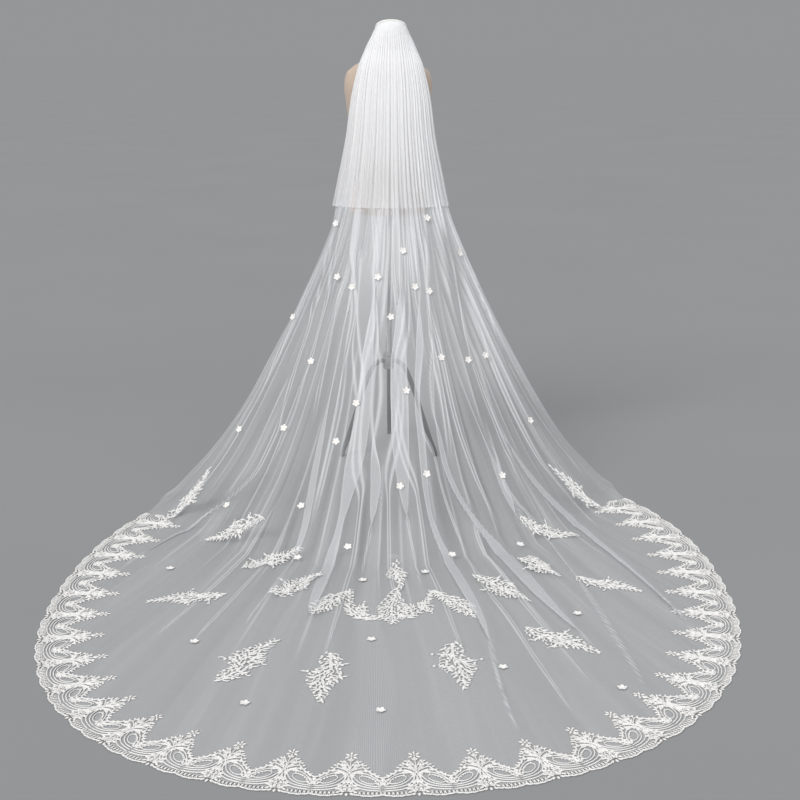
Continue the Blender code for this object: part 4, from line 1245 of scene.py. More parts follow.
@dataclass(frozen=True)
class ShortTier:
    """The short, dense tier over the long one."""

    columns: int = 640
    rows: int = 64
    lift: float = 0.0014      # off the long tier at the header
    standoff: float = 0.0040  # more than that, further down
    pleat: float = 0.0042     # depth of its own soft pleats
    gather: float = 0.0009    # depth of the finer ones
    settled: float = 0.60     # share of its fall after which it stands off in full
    flare: float = 0.013      # how far its hem's corners stand out to the sides
    last_section: int = 9     # of the long tier's, at its hem
    flat: tuple[float, float] = (1.30, 0.76)
    flat_area: float = 0.42

    def build(self, surface: VeilSurface, material: bpy.types.Material) -> bpy.types.Object:
        """Builds the tier in place of its plain solid.

        It follows the long tier, and stands off it more and more down to where it has
        settled, with soft pleats of its own and finer ones between.
        """
        across = np.linspace(-1, 1, self.columns)[None, :]
        share = np.linspace(0, 1, self.rows)[:, None]
        down = share * float(surface.knots[self.last_section])
        top, hem = surface.table[0, 0], surface.table[self.last_section, 0]
        fallen = (top - surface.section(down)[0]) / (top - hem)
        place = surface.pleat_place(across)
        uneven_pleat = 0.25 + 0.75 * uneven(np.floor(place * 0.25 + 0.255), 0.71)
        pleat = np.sin(np.pi * place * 0.25 + 0.8) ** 2 * uneven_pleat
        gather = np.sin(np.pi * place) ** 2 * (0.1 + 0.9 * uneven(np.floor(place), 0.55))
        off = self.standoff + self.pleat * pleat + self.gather * gather
        lift = self.lift + off * ease(fallen / self.settled)
        _, out, _ = surface.ways(across, down)
        height = 0.35 * surface.pleat_heights(across, down) + lift
        points = surface.smooth(across, down) + out * height[..., None] + POLE
        corner = ease((np.abs(across) - 0.55) / 0.35) * ease((share - 0.55) / 0.45)
        points[..., 0] += self.flare * np.sign(across) * corner
        quads = grid_quads(*points.shape[:2])
        piece = add_piece("short_tier_tulle", points, quads, material, "short_tier")
        store_values(piece, "layers", self.layers(points, out, across, share, down))
        store_uv(piece, across * self.flat[0] / 2, -share * self.flat[1])
        return piece

    @staticmethod
    def layers(points: Array, out: Array, across: Array, share: Array, down: Array) -> Array:
        """How many layers a look through passes: many in the middle, few at the sides.

        The side edges thin out over a share of the width, the hem is a line of its own.
        """
        thin = 1 - 0.35 * ease((np.abs(across) - 0.60) / 0.4) * ease(share / 0.4)
        full = (9.0 - 7.3 * ease(share / 1.05)) * thin
        hem = 0.3 * bell((share - 1) / 0.006)
        grain = 0.78 + 0.22 * streaks(across * 1.3, down)
        return full * slant(points, out) ** 0.15 * grain + hem


@dataclass(frozen=True)
class Header:
    """The satin band gathered over both tiers' tops, arched over the back of the neck cap."""

    gap: float = 0.0003       # from the cloth's top edge
    width: float = 0.009
    thick: float = 0.0040
    ruffles: int = 90
    ruffle_depth: float = 0.0004
    squareness: float = 10 / 3
    turns: int = 481
    sides: int = 20

    def build(self, surface: VeilSurface, material: bpy.types.Material) -> bpy.types.Object:
        """A rounded section carried along the cloth's top edge, with fine ripples outside.

        The section is a superellipse in the plane of the way up the cloth and the way out
        of it; at each end of the band it closes to a point.
        """
        share = np.linspace(-1, 1, self.turns)[:, None]
        top = surface.smooth(share, 0.0)
        rise = unit(top - surface.smooth(share, surface.knots[1]))
        _, out, _ = surface.ways(share, np.zeros_like(share))
        turn = round_turn(self.sides)[None, :]
        away = blunted(np.cos(turn), self.squareness)
        over = blunted(np.sin(turn), self.squareness)
        close = np.sqrt(np.clip((1 - np.abs(share)) / 0.012, 0, 1))
        ruffle = np.cos(self.ruffles * math.pi * share) * np.clip(away, 0, 1)
        off = self.thick / 2 + (away * self.thick / 2 + self.ruffle_depth * ruffle) * close
        high = self.gap + self.width / 2 + over * self.width / 2 * close
        points = top + out * off[..., None] + rise * high[..., None] + POLE
        quads = grid_quads(self.turns, self.sides, round_columns=True)
        return add_piece("header_band", points, quads, material, "header")


# ---- lace: strokes of cord, leaf and knot
class StrokeKind(Enum):
    """What a stroke is sewn as."""

    CORD = "cord"
    LEAF = "leaf"
    CURL = "curl"
    KNOT = "knot"
    RING = "ring"


# Each kind's width and height at even steps along it, as shares of its greatest.
PROFILES: dict[StrokeKind, Array] = {
    StrokeKind.CORD: np.array([(0.6, *[1.0] * 9, 0.6), (0.4, *[1.0] * 9, 0.4)]),
    StrokeKind.LEAF: np.array([(0.15, 0.72, 1.0, 0.92, 0.55, 0.1), (0.5, 0.9, 1.0, 0.9, 0.6, 0.3)]),
    StrokeKind.CURL: np.array([(0.5, 1.0, 1.0, 1.0, 0.9, 0.4)] * 2),
    StrokeKind.KNOT: np.array([(0.35, 1.0, 1.0, 0.35), (0.3, 1.0, 1.0, 0.3)]),
    StrokeKind.RING: np.ones((2, 17)),
}


class Cluster(NamedTuple):
    """A band of dense stitching: its middle line, and its half width at even steps along it."""

    spine: tuple[tuple[float, float], ...]
    half: tuple[float, ...]


class StrokeSheet:
    """Strokes drawn flat, in metres: each a path with a width and a height along it."""

    ON_LINE = 0.0006          # closer to the mirror line than this, a stroke lies on it
    LEAF_HIGH = RING_HIGH = 0.0022
    CURL_HIGH = 0.0024
    KNOT_HIGH = 0.0026
    ROW_APART = 1.05          # from one row of a cluster to the next, in pitches

    def __init__(self) -> None:
        """Starts empty."""
        self.strokes: dict[StrokeKind, list[tuple[Array, float, float]]] = {
            kind: [] for kind in StrokeKind
        }

    def draw(self, kind: StrokeKind, path: Sequence[Sequence[float]], width: float,
             height: float) -> None:
        """Adds a stroke through the given points."""
        points = smooth_path(np.array([path], dtype=float), PROFILES[kind].shape[1])[0]
        self.strokes[kind].append((points, width, height))

    def leaf(self, start: Sequence[float], heading: float, length: float, width: float) -> None:
        """Adds one leaf or petal from a point, by its heading in degrees."""
        first = np.array(start, dtype=float)
        last = first + heading_way(heading) * length
        self.draw(StrokeKind.LEAF, [first, last], width, self.LEAF_HIGH)

    def knot(self, place: Sequence[float], size: float) -> None:
        """Adds one French knot."""
        first = np.array(place, dtype=float)
        half = np.array([size / 2, 0.0])
        self.draw(StrokeKind.KNOT, [first - half, first + half], size, self.KNOT_HIGH)

    def _oval(self, kind: StrokeKind, place: Sequence[float], half: tuple[float, float],
              lean: float, turn: Array, width: float, height: float) -> None:
        """Adds a part of an oval: a circle stretched each way, turned by lean, and moved."""
        u, v = half[0] * np.cos(turn), half[1] * np.sin(turn)
        c, s = heading_way(lean)
        points = np.stack([place[0] + u * c - v * s, place[1] + u * s + v * c], axis=-1)
        self.strokes[kind].append((points, width, height))

    def ring(self, place: Sequence[float], half: tuple[float, float], lean: float,
             width: float) -> None:
        """Adds a closed oval of cord."""
        turn = np.linspace(0, 2 * math.pi, PROFILES[StrokeKind.RING].shape[1])
        self._oval(StrokeKind.RING, place, half, lean, turn, width, self.RING_HIGH)

    def curl(self, place: Sequence[float], heading: float, length: float, width: float) -> None:
        """Adds a small open loop of cord, narrower across its heading than along it."""
        turn = np.radians(np.linspace(200.0, -40.0, PROFILES[StrokeKind.CURL].shape[1]))
        half = (0.5 * length, 0.30 * length)
        self._oval(StrokeKind.CURL, place, half, heading, turn, width, self.CURL_HIGH)

    def fill(self, cluster: Cluster, pitch: float, seed: int) -> None:
        """Fills a cluster with rows of short leaves, curls and knots that fan out to its tip.

        Args:
            cluster: The band to fill.
            pitch: From one stroke to the next across the band; the rows are wider apart.
            seed: Of the unevenness of each stroke's place, turn and size.
        """
        path = smooth_path(np.array([cluster.spine], dtype=float), 121)[0]
        run, ahead = run_of(path), np.gradient(path, axis=0)
        rows = max(2, round(run[-1] / (self.ROW_APART * pitch)))
        for row in range(rows):
            share = (row + 0.5) / rows
            place, way = (np.array([np.interp(share * run[-1], run, line) for line in part.T])
                          for part in (path, ahead))
            way /= np.linalg.norm(way)
            side = np.array([-way[1], way[0]])
            wide = float(np.interp(share, np.linspace(0, 1, len(cluster.half)), cluster.half))
            count = max(1, round(2 * wide / pitch))
            for k in range(count):
                number = seed * 131 + row * 17 + k
                lean = (2 * k + 1) / count - 1
                aside, along, turn, grow = (
                    float(uneven(number, part)) - 0.5 for part in (0.11, 0.43, 0.77, 0.29)
                )
                kind = int(5 * float(uneven(number, 0.63)))
                spot = place + side * (lean * wide * 0.9 + 0.4 * pitch * aside)
                spot = spot + way * pitch * 0.7 * along
                heading = math.degrees(math.atan2(way[1], way[0])) + 62 * lean + 70 * turn
                self._stitch(kind, spot, heading, pitch * (1.0 + 0.4 * grow))

    def _stitch(self, kind: int, spot: Array, heading: float, size: float) -> None:
        """Adds one stroke of a filling: two in five are leaves, two are curls and one a knot."""
        if kind < 2:
            start = spot - heading_way(heading) * 0.8 * size
            self.leaf(start, heading, 1.7 * size, 0.74 * size)
        elif kind < 4:
            self.curl(spot, heading, 1.7 * size, 0.46 * size)
        else:
            self.knot(spot, 0.9 * size)

    def floret(self, place: Sequence[float], radius: float, petals: int, turn: float) -> None:
        """Adds a flower of petals about a knot."""
        for k in range(petals):
            heading = turn + 360.0 * k / petals
            start = np.array(place) + heading_way(heading) * radius * 0.24
            self.leaf(start, heading, radius * 0.78, radius * 2.9 / petals)
        self.knot(place, radius * 0.36)

    def mirrored(self) -> "StrokeSheet":
        """The right-hand strokes on both sides of the line where the first place is 0.

        A stroke on the line itself stays single, and what was drawn on the left goes.
        """
        both = StrokeSheet()
        for kind, strokes in self.strokes.items():
            for points, width, height in strokes:
                middle = float(points[:, 0].mean())
                if middle > -self.ON_LINE:
                    both.strokes[kind].append((points, width, height))
                if middle > self.ON_LINE:
                    both.strokes[kind].append((points * (-1, 1), width, height))
        return both

    def turned(self, angle: float, scale: float, place: Sequence[float],
               flip: bool = False) -> "StrokeSheet":
        """The same strokes scaled, mirrored end for side if asked, turned and moved."""
        made = StrokeSheet()
        c, s = math.cos(angle), math.sin(angle)
        turn = np.array([[c, s], [-s, c]])
        for kind, strokes in self.strokes.items():
            for points, width, height in strokes:
                flat = points * (scale, -scale if flip else scale)
                made.strokes[kind].append((flat @ turn + np.array(place), width * scale, height))
        return made

    def bodies(self) -> tuple[Array, Array]:
        """Closed bodies of all strokes, still flat.

        A stroke's section is a low kite: its two sides lie a quarter up, its back at full
        height over the path and its belly on the cloth.

        Returns:
            The points, as place, place and height, and the faces.
        """
        all_points, all_quads, count = [], [], 0
        for kind, strokes in self.strokes.items():
            if not strokes:
                continue
            wide, tall = PROFILES[kind]
            number = len(wide)
            path = np.stack([points for points, _, _ in strokes])
            width = np.array([w for _, w, _ in strokes])[:, None] * wide
            height = (np.array([h for _, _, h in strokes])[:, None] * tall)[..., None]
            way = np.gradient(path, axis=1)
            if kind is StrokeKind.RING:
                way[:, 0] = way[:, -1] = path[:, 1] - path[:, -2]
            way /= np.maximum(np.linalg.norm(way, axis=-1, keepdims=True), 1e-9)
            side = np.stack([-way[..., 1], way[..., 0]], axis=-1) * width[..., None] / 2
            corners = ((path + side, 0.25), (path, 1.0), (path - side, 0.25), (path, 0.0))
            points = [np.concatenate([place, part * height], axis=-1) for place, part in corners]
            points = np.stack(points, axis=2)
            quads = grid_quads(number, 4, round_columns=True)
            if kind is not StrokeKind.RING:
                ends = np.array([[0, 1, 2, 3], [-1, -2, -3, -4]])
                ends[1] += 4 * number
                quads = np.concatenate([quads, ends])
            all_quads.append(repeated(quads, len(strokes), 4 * number) + count)
            all_points.append(points.reshape(-1, 3))
            count += points.size // 3
        return np.concatenate(all_points), np.concatenate(all_quads)[:, ::-1]


class LaceRepeat:
    """One repeat of the border: a floral spire between two swags, drawn about the spire.

    The first place goes along the border and the second inwards from its outer edge, both
    in millimetres. Only the right half is drawn.
    """

    HALF = 84.7
    PITCH = 8.6
    CORD, EDGE, LATTICE = 4.4, 5.6, 3.0      # widths of its strokes
    SCROLLS = (
        ((0, 158), (0, 140), (0, 120), (0, 100)),
        ((0, 108), (5, 126), (13, 141), (21, 141), (20, 133)),
        ((1, 105), (12, 119), (25, 130), (34, 127), (32, 119)),
        ((3, 101), (17, 110), (33, 117), (42, 110), (39, 103)),
        ((-14, 72), (-3, 91), (8, 107), (15, 120)),
        ((0, 98), (7, 82), (9, 66), (3, 52)),
        ((5, 104), (11, 80), (24, 57), (43, 42), (65, 35), (84.7, 34)),
        ((1, 98), (7, 71), (19, 47), (41, 33), (64, 27), (84.7, 25)),
        ((-3, 88), (3, 62), (15, 38), (38, 23), (62, 18), (84.7, 16)),
        ((38, 113), (50, 99), (62, 86), (74, 76), (84.7, 69)),
        ((28, 90), (42, 90), (56, 81), (68, 69), (79, 57)),
        ((84.7, 42), (80, 53), (74, 60), (66, 64)),
    )
    # Each leaf's root, heading, length and width.
    LEAVES = (
        (2, 148, 58, 14, 8), (12, 142, 42, 13, 8), (20, 143, 20, 12, 8), (28, 132, 36, 12, 8),
        (34, 127, 10, 12, 8), (42, 114, 30, 12, 8), (4, 124, 66, 14, 8), (12, 112, 44, 14, 8),
        (9, 90, 40, 28, 15), (13, 98, 14, 24, 11), (26, 97, -18, 15, 9), (48, 100, 36, 12, 8),
        (58, 89, 20, 12, 8), (69, 79, 40, 12, 8), (84.7, 52, 90, 25, 10), (79, 54, 124, 17, 9),
        (76, 45, 146, 13, 8), (6, 46, 62, 18, 10), (0, 46, 90, 22, 10), (12, 36, 24, 18, 9),
        (14, 26, -4, 16, 9), (14, 16, -34, 15, 9), (8, 9, -58, 13, 9), (0, 8, -90, 13, 10),
    )
    CLUSTERS = (
        Cluster(((6, 88), (24, 97), (44, 108)), (6, 10, 9, 6)),
        Cluster(((40, 108), (54, 92), (68, 79), (82, 69)), (6, 6, 6, 6)),
        Cluster(((10, 12), (12, 32), (6, 58)), (7, 10, 8)),
        Cluster(((80, 40), (80, 52), (83, 66)), (7, 6, 3)),
        Cluster(((12, 124), (22, 134)), (9, 7)),
    )

    @staticmethod
    def finished(sheet: StrokeSheet) -> StrokeSheet:
        """The right half in metres, and the same on the left."""
        return sheet.turned(0.0, MM, (0.0, 0.0)).mirrored()

    @classmethod
    def cords(cls) -> StrokeSheet:
        """The scrolls, the eyes' rings, the swags' arcs, the edge and its lattice."""
        sheet = StrokeSheet()
        for row in cls.SCROLLS:
            sheet.draw(StrokeKind.CORD, row, cls.CORD, 0.0026)
        for scallop in range(4):
            edge = []
            for part in range(4):
                at = scallop + part / 3
                sag = 8.0 * math.sin(math.pi * at / 4.4)
                edge.append((14 + 17.7 * at, 4 - sag - 2.6 * abs(math.sin(math.pi * part / 3))))
            sheet.draw(StrokeKind.CORD, edge, cls.EDGE, 0.0030)
        for k in range(6):
            left, right = 26.0 + 10.0 * k, 35.0 + 10.0 * k
            low, high = -5.5 * math.sin(math.pi * (left - 14) / 78), 20.0 - 0.5 * k
            for first, last in (((left, low), (right, high)), ((right, low), (left, high))):
                sheet.draw(StrokeKind.LEAF, (first, last), cls.LATTICE, 0.0018)
        sheet.ring((48.0, 63.0), (24.0, 12.5), -36.0, 3.6)
        sheet.ring((0.0, 28.0), (13.0, 15.0), 0.0, 3.4)
        return cls.finished(sheet)

    @classmethod
    def florets(cls) -> StrokeSheet:
        """The spire's blossoms, the solid leaves, the tuft in the valley and the knots."""
        sheet = StrokeSheet()
        sheet.floret((0, 171), 20, 6, 30)
        for x, y, heading, length, width in cls.LEAVES:
            sheet.leaf((x, y), heading, length, width)
        sheet.floret((0, 28), 11, 6, 0)
        for share in np.linspace(0, 1, 7):
            up = 84 - 34 * share + 5 * math.sin(math.pi * share)
            sheet.knot((33 + 40 * share, up), 5.4)
        for k in range(6):
            along = 30.5 + 10.0 * k
            sheet.knot((along, 9.0 - 2.5 * math.sin(math.pi * (along - 14) / 78)), 6.0)
        for share in np.linspace(0, 1, 9):
            sheet.knot((16 + 68 * share, 3 - 9 * math.sin(math.pi * share * 0.92)), 4.8)
        return cls.finished(sheet)

    @classmethod
    def filling(cls) -> StrokeSheet:
        """The dense stitching of the spire's foot, the leaf pads, the flanks and the valley."""
        sheet = StrokeSheet()
        for number, cluster in enumerate(cls.CLUSTERS):
            sheet.fill(cluster, cls.PITCH, 90 + number)
        return cls.finished(sheet)


class BorderLine:
    """The line that the lace follows, by metres of its length."""

    STEPS = 2000
    LOOK = 0.04               # how far ahead and back its direction is taken from

    def __init__(self, surface: VeilSurface) -> None:
        """Measures the train's outline."""
        self.points = surface.hem(np.linspace(-1, 1, self.STEPS + 1), 0.0)
        self.run = run_of(self.points)
        self.length = float(self.run[-1])

    def point(self, along: Array) -> Array:
        """The floor points at distances along the line."""
        return np.stack([np.interp(along, self.run, line) for line in self.points.T], axis=-1)

    def at(self, along: Array, inward: Array) -> Array:
        """The floor points at distances along the line and in from it, square to it."""
        ahead = unit(self.point(along + self.LOOK) - self.point(along - self.LOOK))
        side = np.stack([-ahead[..., 1], ahead[..., 0]], axis=-1)
        return self.point(along) + side * np.asarray(inward)[..., None]


@dataclass(frozen=True)
class LaceBorder:
    """The scalloped corded lace round the train."""

    repeats: int = 31
    lift: float = 0.0013
    uneven_depth: float = 0.03

    def lay(self, line: BorderLine, sheet: StrokeSheet, name: str,
            material: bpy.types.Material) -> bpy.types.Object:
        """Lays every repeat of a sheet along the line, each a little uneven in its depth."""
        points, quads = sheet.bodies()
        pitch = line.length / self.repeats
        number = np.arange(self.repeats)[:, None]
        along = (number + 0.5) * pitch + points[:, 0] * pitch / (2 * LaceRepeat.HALF * MM)
        along = np.clip(along, 0.0, line.length)
        deep = points[:, 1] * (1.0 + self.uneven_depth * (uneven(number, 0.4) - 0.5))
        height = np.broadcast_to(points[:, 2] + self.lift, along.shape)
        laid = np.concatenate([line.at(along, deep), height[..., None]], axis=-1) + POLE
        faces = repeated(quads, self.repeats, len(points))
        return add_piece(name, laid, faces, material, "lace_border")


# ---- appliques on the tulle
PLAN = (0, 1)                 # seen from above, by x and y
BEHIND = (0, 2)               # seen from behind, by x and height


class Sprig(NamedTuple):
    """One leafy spray on the train, by its middle."""

    x: float
    y: float
    heading: float            # of its tip, degrees from +X
    length: float


SPRIGS = [Sprig(*row) for row in (
    (-0.722, -0.785, 54.0, 0.225),
    (-0.522, -1.084, 183.0, 0.207),
    (-0.376, -1.284, 34.0, 0.220),
    (-0.283, -1.488, 48.0, 0.230),
    (-0.610, -1.582, 195.0, 0.240),
    (-0.381, -2.005, 61.0, 0.290),
    (-0.158, -2.105, 269.0, 0.290),
    (0.208, -2.039, 273.0, 0.280),
    (0.361, -1.522, 309.0, 0.250),
    (0.512, -1.884, 319.0, 0.255),
    (0.497, -1.352, 308.0, 0.195),
    (0.568, -1.041, 348.0, 0.210),
    (0.694, -0.732, 168.0, 0.205),
    (0.710, -1.476, 330.0, 0.220),
)]


class Applique:
    """Lays drawn strokes on the tulle wherever it goes, folds and all."""

    def __init__(self, surface: VeilSurface, lift: float = 0.0011) -> None:
        """Keeps the surface, and how far the strokes' undersides stand off it."""
        self.surface = surface
        self.lift = lift

    def lay(self, sheet: StrokeSheet, name: str, node: str,
            material: bpy.types.Material) -> bpy.types.Object:
        """Lays strokes given by x and y from the pole.

        Each point's place on the cloth is found from its plan, and it then stands off the
        cloth there by its own height. Where a crease doubles the cloth it runs on under it.
        """
        points, quads = sheet.bodies()
        start = self.surface.find(points[:, :2].mean(axis=0), PLAN)
        across, down = self.surface.solve(points[:, :2], PLAN, start)
        laid = self.surface.folded(across, down, points[:, 2] + self.lift, doubled=False) + POLE
        return add_piece(name, laid, quads, material, node)


class SprigSheet:
    """A leafy spray drawn along the first place, from root to tip, 1 unit long."""

    PITCH = 0.050

    @classmethod
    def draw(cls, seed: int) -> StrokeSheet:
        """One spray: a small cluster at its root, a wide one in its middle and a thin tip.

        The seed bends the spray, and widens and shifts its two clusters a little.
        """
        sheet = StrokeSheet()
        bend, shift, fat = (float(uneven(seed, part)) - 0.5 for part in (0.2, 0.5, 0.8))
        neck = -0.20 + 0.08 * shift
        spine = ((-0.5, 0.03 * bend), (neck, 0.05 + 0.04 * bend), (0.12, -0.02), (0.5, 0.05 * bend))
        wide = 0.200 + 0.03 * fat
        half = (0.03, 0.11, 0.14, 0.11, 0.86 * wide, wide, 0.90 * wide, 0.12, 0.09, 0.06, 0.03)
        sheet.fill(Cluster(spine, half), cls.PITCH, seed)
        sheet.draw(StrokeKind.CORD, spine, 0.014, 0.0024)
        for share, side in ((0.30, 1), (0.44, -1), (0.56, 1)):
            root, tip = (share - 0.5, side * 0.02), (share - 0.55, side * wide * 1.25)
            sheet.fill(Cluster((root, tip), (0.03, 0.03, 0.012)), cls.PITCH, seed + 40)
        return sheet


class Garland:
    """The spray over the hem: a spire of stitching, a bouquet, and a wing out to each side.

    It is drawn in millimetres about its own middle.
    """

    MIDDLE = (0.032, -1.565)
    PITCH = 12.0
    CLUSTERS = (
        Cluster(((3, 258), (-3, 225), (-1, 170), (12, 115), (17, 66), (8, 40)),
                (5, 14, 20, 34, 38, 20, 13, 10, 12)),
        Cluster(((6, 40), (-4, 0), (-9, -50), (-8, -105), (-7, -160), (-6, -212)),
                (13, 22, 26, 40, 52, 50, 46, 28, 6)),
        Cluster(((-40, -166), (-76, -164), (-110, -142), (-134, -86), (-137, -30), (-137, 38)),
                (18, 22, 28, 30, 24, 15, 13, 13, 9)),
        Cluster(((-106, -140), (-98, -96), (-94, -44)), (22, 24, 12, 5)),
        Cluster(((-140, 20), (-166, 2), (-202, -50), (-230, -112), (-248, -164)),
                (12, 18, 30, 42, 44, 34, 20, 6)),
        Cluster(((34, -172), (56, -124), (74, -78), (98, -90), (108, -134)),
                (22, 24, 30, 32, 24, 16, 6)),
        Cluster(((78, -78), (100, -42), (109, -10), (109, 38)), (24, 15, 11, 10, 6)),
        Cluster(((112, 30), (150, -18), (186, -52), (216, -116), (242, -168)),
                (8, 18, 30, 42, 44, 34, 20, 6)),
    )
    SCROLLS = (
        ((2, 250), (-2, 180), (14, 100), (6, 30), (-8, -60), (-7, -205)),
        ((-10, -120), (-46, -160), (-98, -172), (-136, -110), (-138, 20)),
        ((-138, 20), (-176, 4), (-214, -70), (-247, -160)),
        ((-4, -120), (36, -168), (60, -110), (96, -60), (109, 30)),
        ((109, 30), (160, -14), (206, -80), (241, -164)),
    )

    @classmethod
    def draw(cls) -> StrokeSheet:
        """The whole garland about its middle: the first place aside, the second to the form."""
        sheet = StrokeSheet()
        for row in cls.SCROLLS:
            sheet.draw(StrokeKind.CORD, row, 4.0, 0.0026)
        for number, cluster in enumerate(cls.CLUSTERS):
            sheet.fill(cluster, cls.PITCH, 60 + number)
        return sheet.turned(0.0, MM, cls.MIDDLE)


class BlossomPlace(NamedTuple):
    """A blossom on the hanging cloth by x and height, or on the lying cloth by x and y."""

    first: float
    second: float
    hangs: bool


def blossom_places(hanging: Sequence[tuple[float, float]],
                   lying: Sequence[tuple[float, float]]) -> list[BlossomPlace]:
    """The places of the hanging blossoms, then of the lying ones."""
    return [BlossomPlace(*row, rows is hanging) for rows in (hanging, lying) for row in rows]


HANGING = (
    (-0.205, 0.980), (0.152, 1.005), (0.058, 0.891), (-0.187, 0.795), (-0.135, 0.768),
    (-0.037, 0.798), (0.157, 0.749), (0.013, 0.664), (-0.368, 0.640), (-0.281, 0.517),
    (0.199, 0.528), (0.302, 0.508), (0.072, 0.438), (-0.112, 0.401), (-0.372, 0.316),
    (-0.180, 0.289), (0.535, 0.290), (-0.555, 0.270), (0.141, 0.206), (0.411, 0.171),
)
LYING = (
    (-0.125, -1.249), (0.452, -1.175), (-0.036, -1.881), (-0.354, -2.257), (-0.002, -2.299),
    (0.329, -2.057), (0.577, -1.701), (0.635, -2.174), (-0.702, -1.347), (-0.538, -1.894),
)
# Fainter ones, which have no node of their own.
FAINT_HANGING = ((0.279, 0.865), (0.104, 0.762), (0.370, 0.521), (0.047, 0.180))
FAINT_LYING = (
    (0.220, -1.262), (0.128, -1.390), (-0.071, -1.447), (-0.564, -0.956), (-0.290, -1.074),
    (-0.293, -1.286),
)


@dataclass(frozen=True)
class Blossom:
    """A small five-petalled cloth flower sewn to the tulle."""

    radius: float = 0.0138
    cup: float = 0.0056       # how high its petals rise
    thick: float = 0.0005
    notch: float = 0.55       # its radius between two petals, as a share
    vein: float = 0.0004
    eye: float = 0.0016
    sides: int = 50
    rings: int = 8
    off_cloth: float = 0.0006
    turn_on: float = 40.0     # degrees from one flower to the next
    reach: float = 0.12       # how far across, in places, a doubled layer may lie over it
    proudest: float = 0.024   # the highest such layer it is sewn through
    tilt: float = 0.45        # how far a hanging one turns to the back

    def shape(self) -> tuple[Array, Array]:
        """The flower about its middle, facing +Z, as one closed body.

        The outline's radius dips between petals with the cosine of two and a half turns.
        Going out, the face rises to the cup and its petals roll over at their tips; the
        same surface, a little lower, comes back in underneath.
        """
        turn = round_turn(self.sides)[None, :]
        wave = np.abs(np.cos(2.5 * turn)) ** 0.55
        edge = self.radius * (self.notch + (1 - self.notch) * wave)
        share = np.linspace(0.02, 1, self.rings)[:, None]
        roll = 0.35 * ease((share - 0.7) / 0.3) * wave
        petal = self.cup * (share**1.5 * (0.35 + 0.65 * wave) - roll)
        eye = self.eye * bell(share / 0.2)
        face = petal + self.vein * np.cos(20 * turn) * share + eye + self.thick
        x, y = edge * share * np.cos(turn), edge * share * np.sin(turn)
        top = np.stack([x, y, face], axis=-1)
        low = np.stack([x, y, face - self.thick - eye * 0.8], axis=-1)[::-1]
        rows = 2 * self.rings
        quads = grid_quads(rows, self.sides, round_columns=True)
        lids = end_lids(rows, self.sides)
        points = np.concatenate([top, low]).reshape(-1, 3)
        return points, np.concatenate([quads, lids])

    def sew(self, surface: VeilSurface, place: BlossomPlace, number: int,
            material: bpy.types.Material, node: str | None) -> bpy.types.Object:
        """Sews one flower to the crests of the cloth, each turned on from the last."""
        spot = (place.first, place.second)
        across, down = surface.uppermost(spot, BEHIND if place.hangs else PLAN)
        aside = surface.folded(np.array([across + 0.004, across - 0.004]), np.array(down))
        _, out, _ = surface.ways(np.array(across), np.array(down))
        if place.hangs:
            out = out - (0.0, self.tilt, 0.0)
        out = unit(out)
        here = surface.folded(np.array(across), np.array(down), self.off_cloth)
        here = here + out * self.proud(surface, across, down, here, out)
        first = aside[0] - aside[1]
        first = unit(first - out * float(first @ out))
        second = np.cross(out, first)
        flat, quads = self.shape()
        c, s = heading_way(self.turn_on * number)
        x, y = flat[:, :1] * c - flat[:, 1:2] * s, flat[:, :1] * s + flat[:, 1:2] * c
        laid = here + x * first + y * second + flat[:, 2:] * out + POLE
        name = f"blossom_flower_{number:02d}"
        return add_piece(name, laid, quads, material, node)

    def proud(self, surface: VeilSurface, across: float, down: float, here: Array,
              out: Array) -> float:
        """How far the cloth within the flower's reach stands above its middle."""
        aside = np.clip(across + self.reach * np.linspace(-1, 1, 201)[:, None], -1, 1)
        length = self.radius / surface.slope_length
        along = np.clip(down + length * np.linspace(-1, 1, 7)[None, :], 0, 2)
        around = surface.folded(aside, along) - here
        high = around @ out
        away = np.linalg.norm(around - high[..., None] * out, axis=-1)
        under = (away < 0.75 * self.radius) & (high < self.proudest)
        return float(high[under].max(initial=0.0))


# ---- form and stand
class FormSection(NamedTuple):
    """One oval section of the form."""

    height: float
    half_width: float
    front: float              # how far its front lies from the pole
    back: float


FORM = [FormSection(*row) for row in (
    (1.706, 0.050, 0.050, 0.050),
    (1.660, 0.051, 0.050, 0.050),
    (1.630, 0.060, 0.050, 0.053),
    (1.600, 0.092, 0.050, 0.058),
    (1.575, 0.136, 0.052, 0.062),
    (1.545, 0.166, 0.058, 0.070),
    (1.500, 0.174, 0.078, 0.086),
    (1.420, 0.166, 0.106, 0.096),
    (1.320, 0.147, 0.118, 0.092),
    (1.230, 0.126, 0.100, 0.084),
    (1.170, 0.120, 0.092, 0.084),
    (1.100, 0.140, 0.098, 0.100),
    (1.030, 0.158, 0.104, 0.112),
    (1.000, 0.156, 0.102, 0.110),
)]


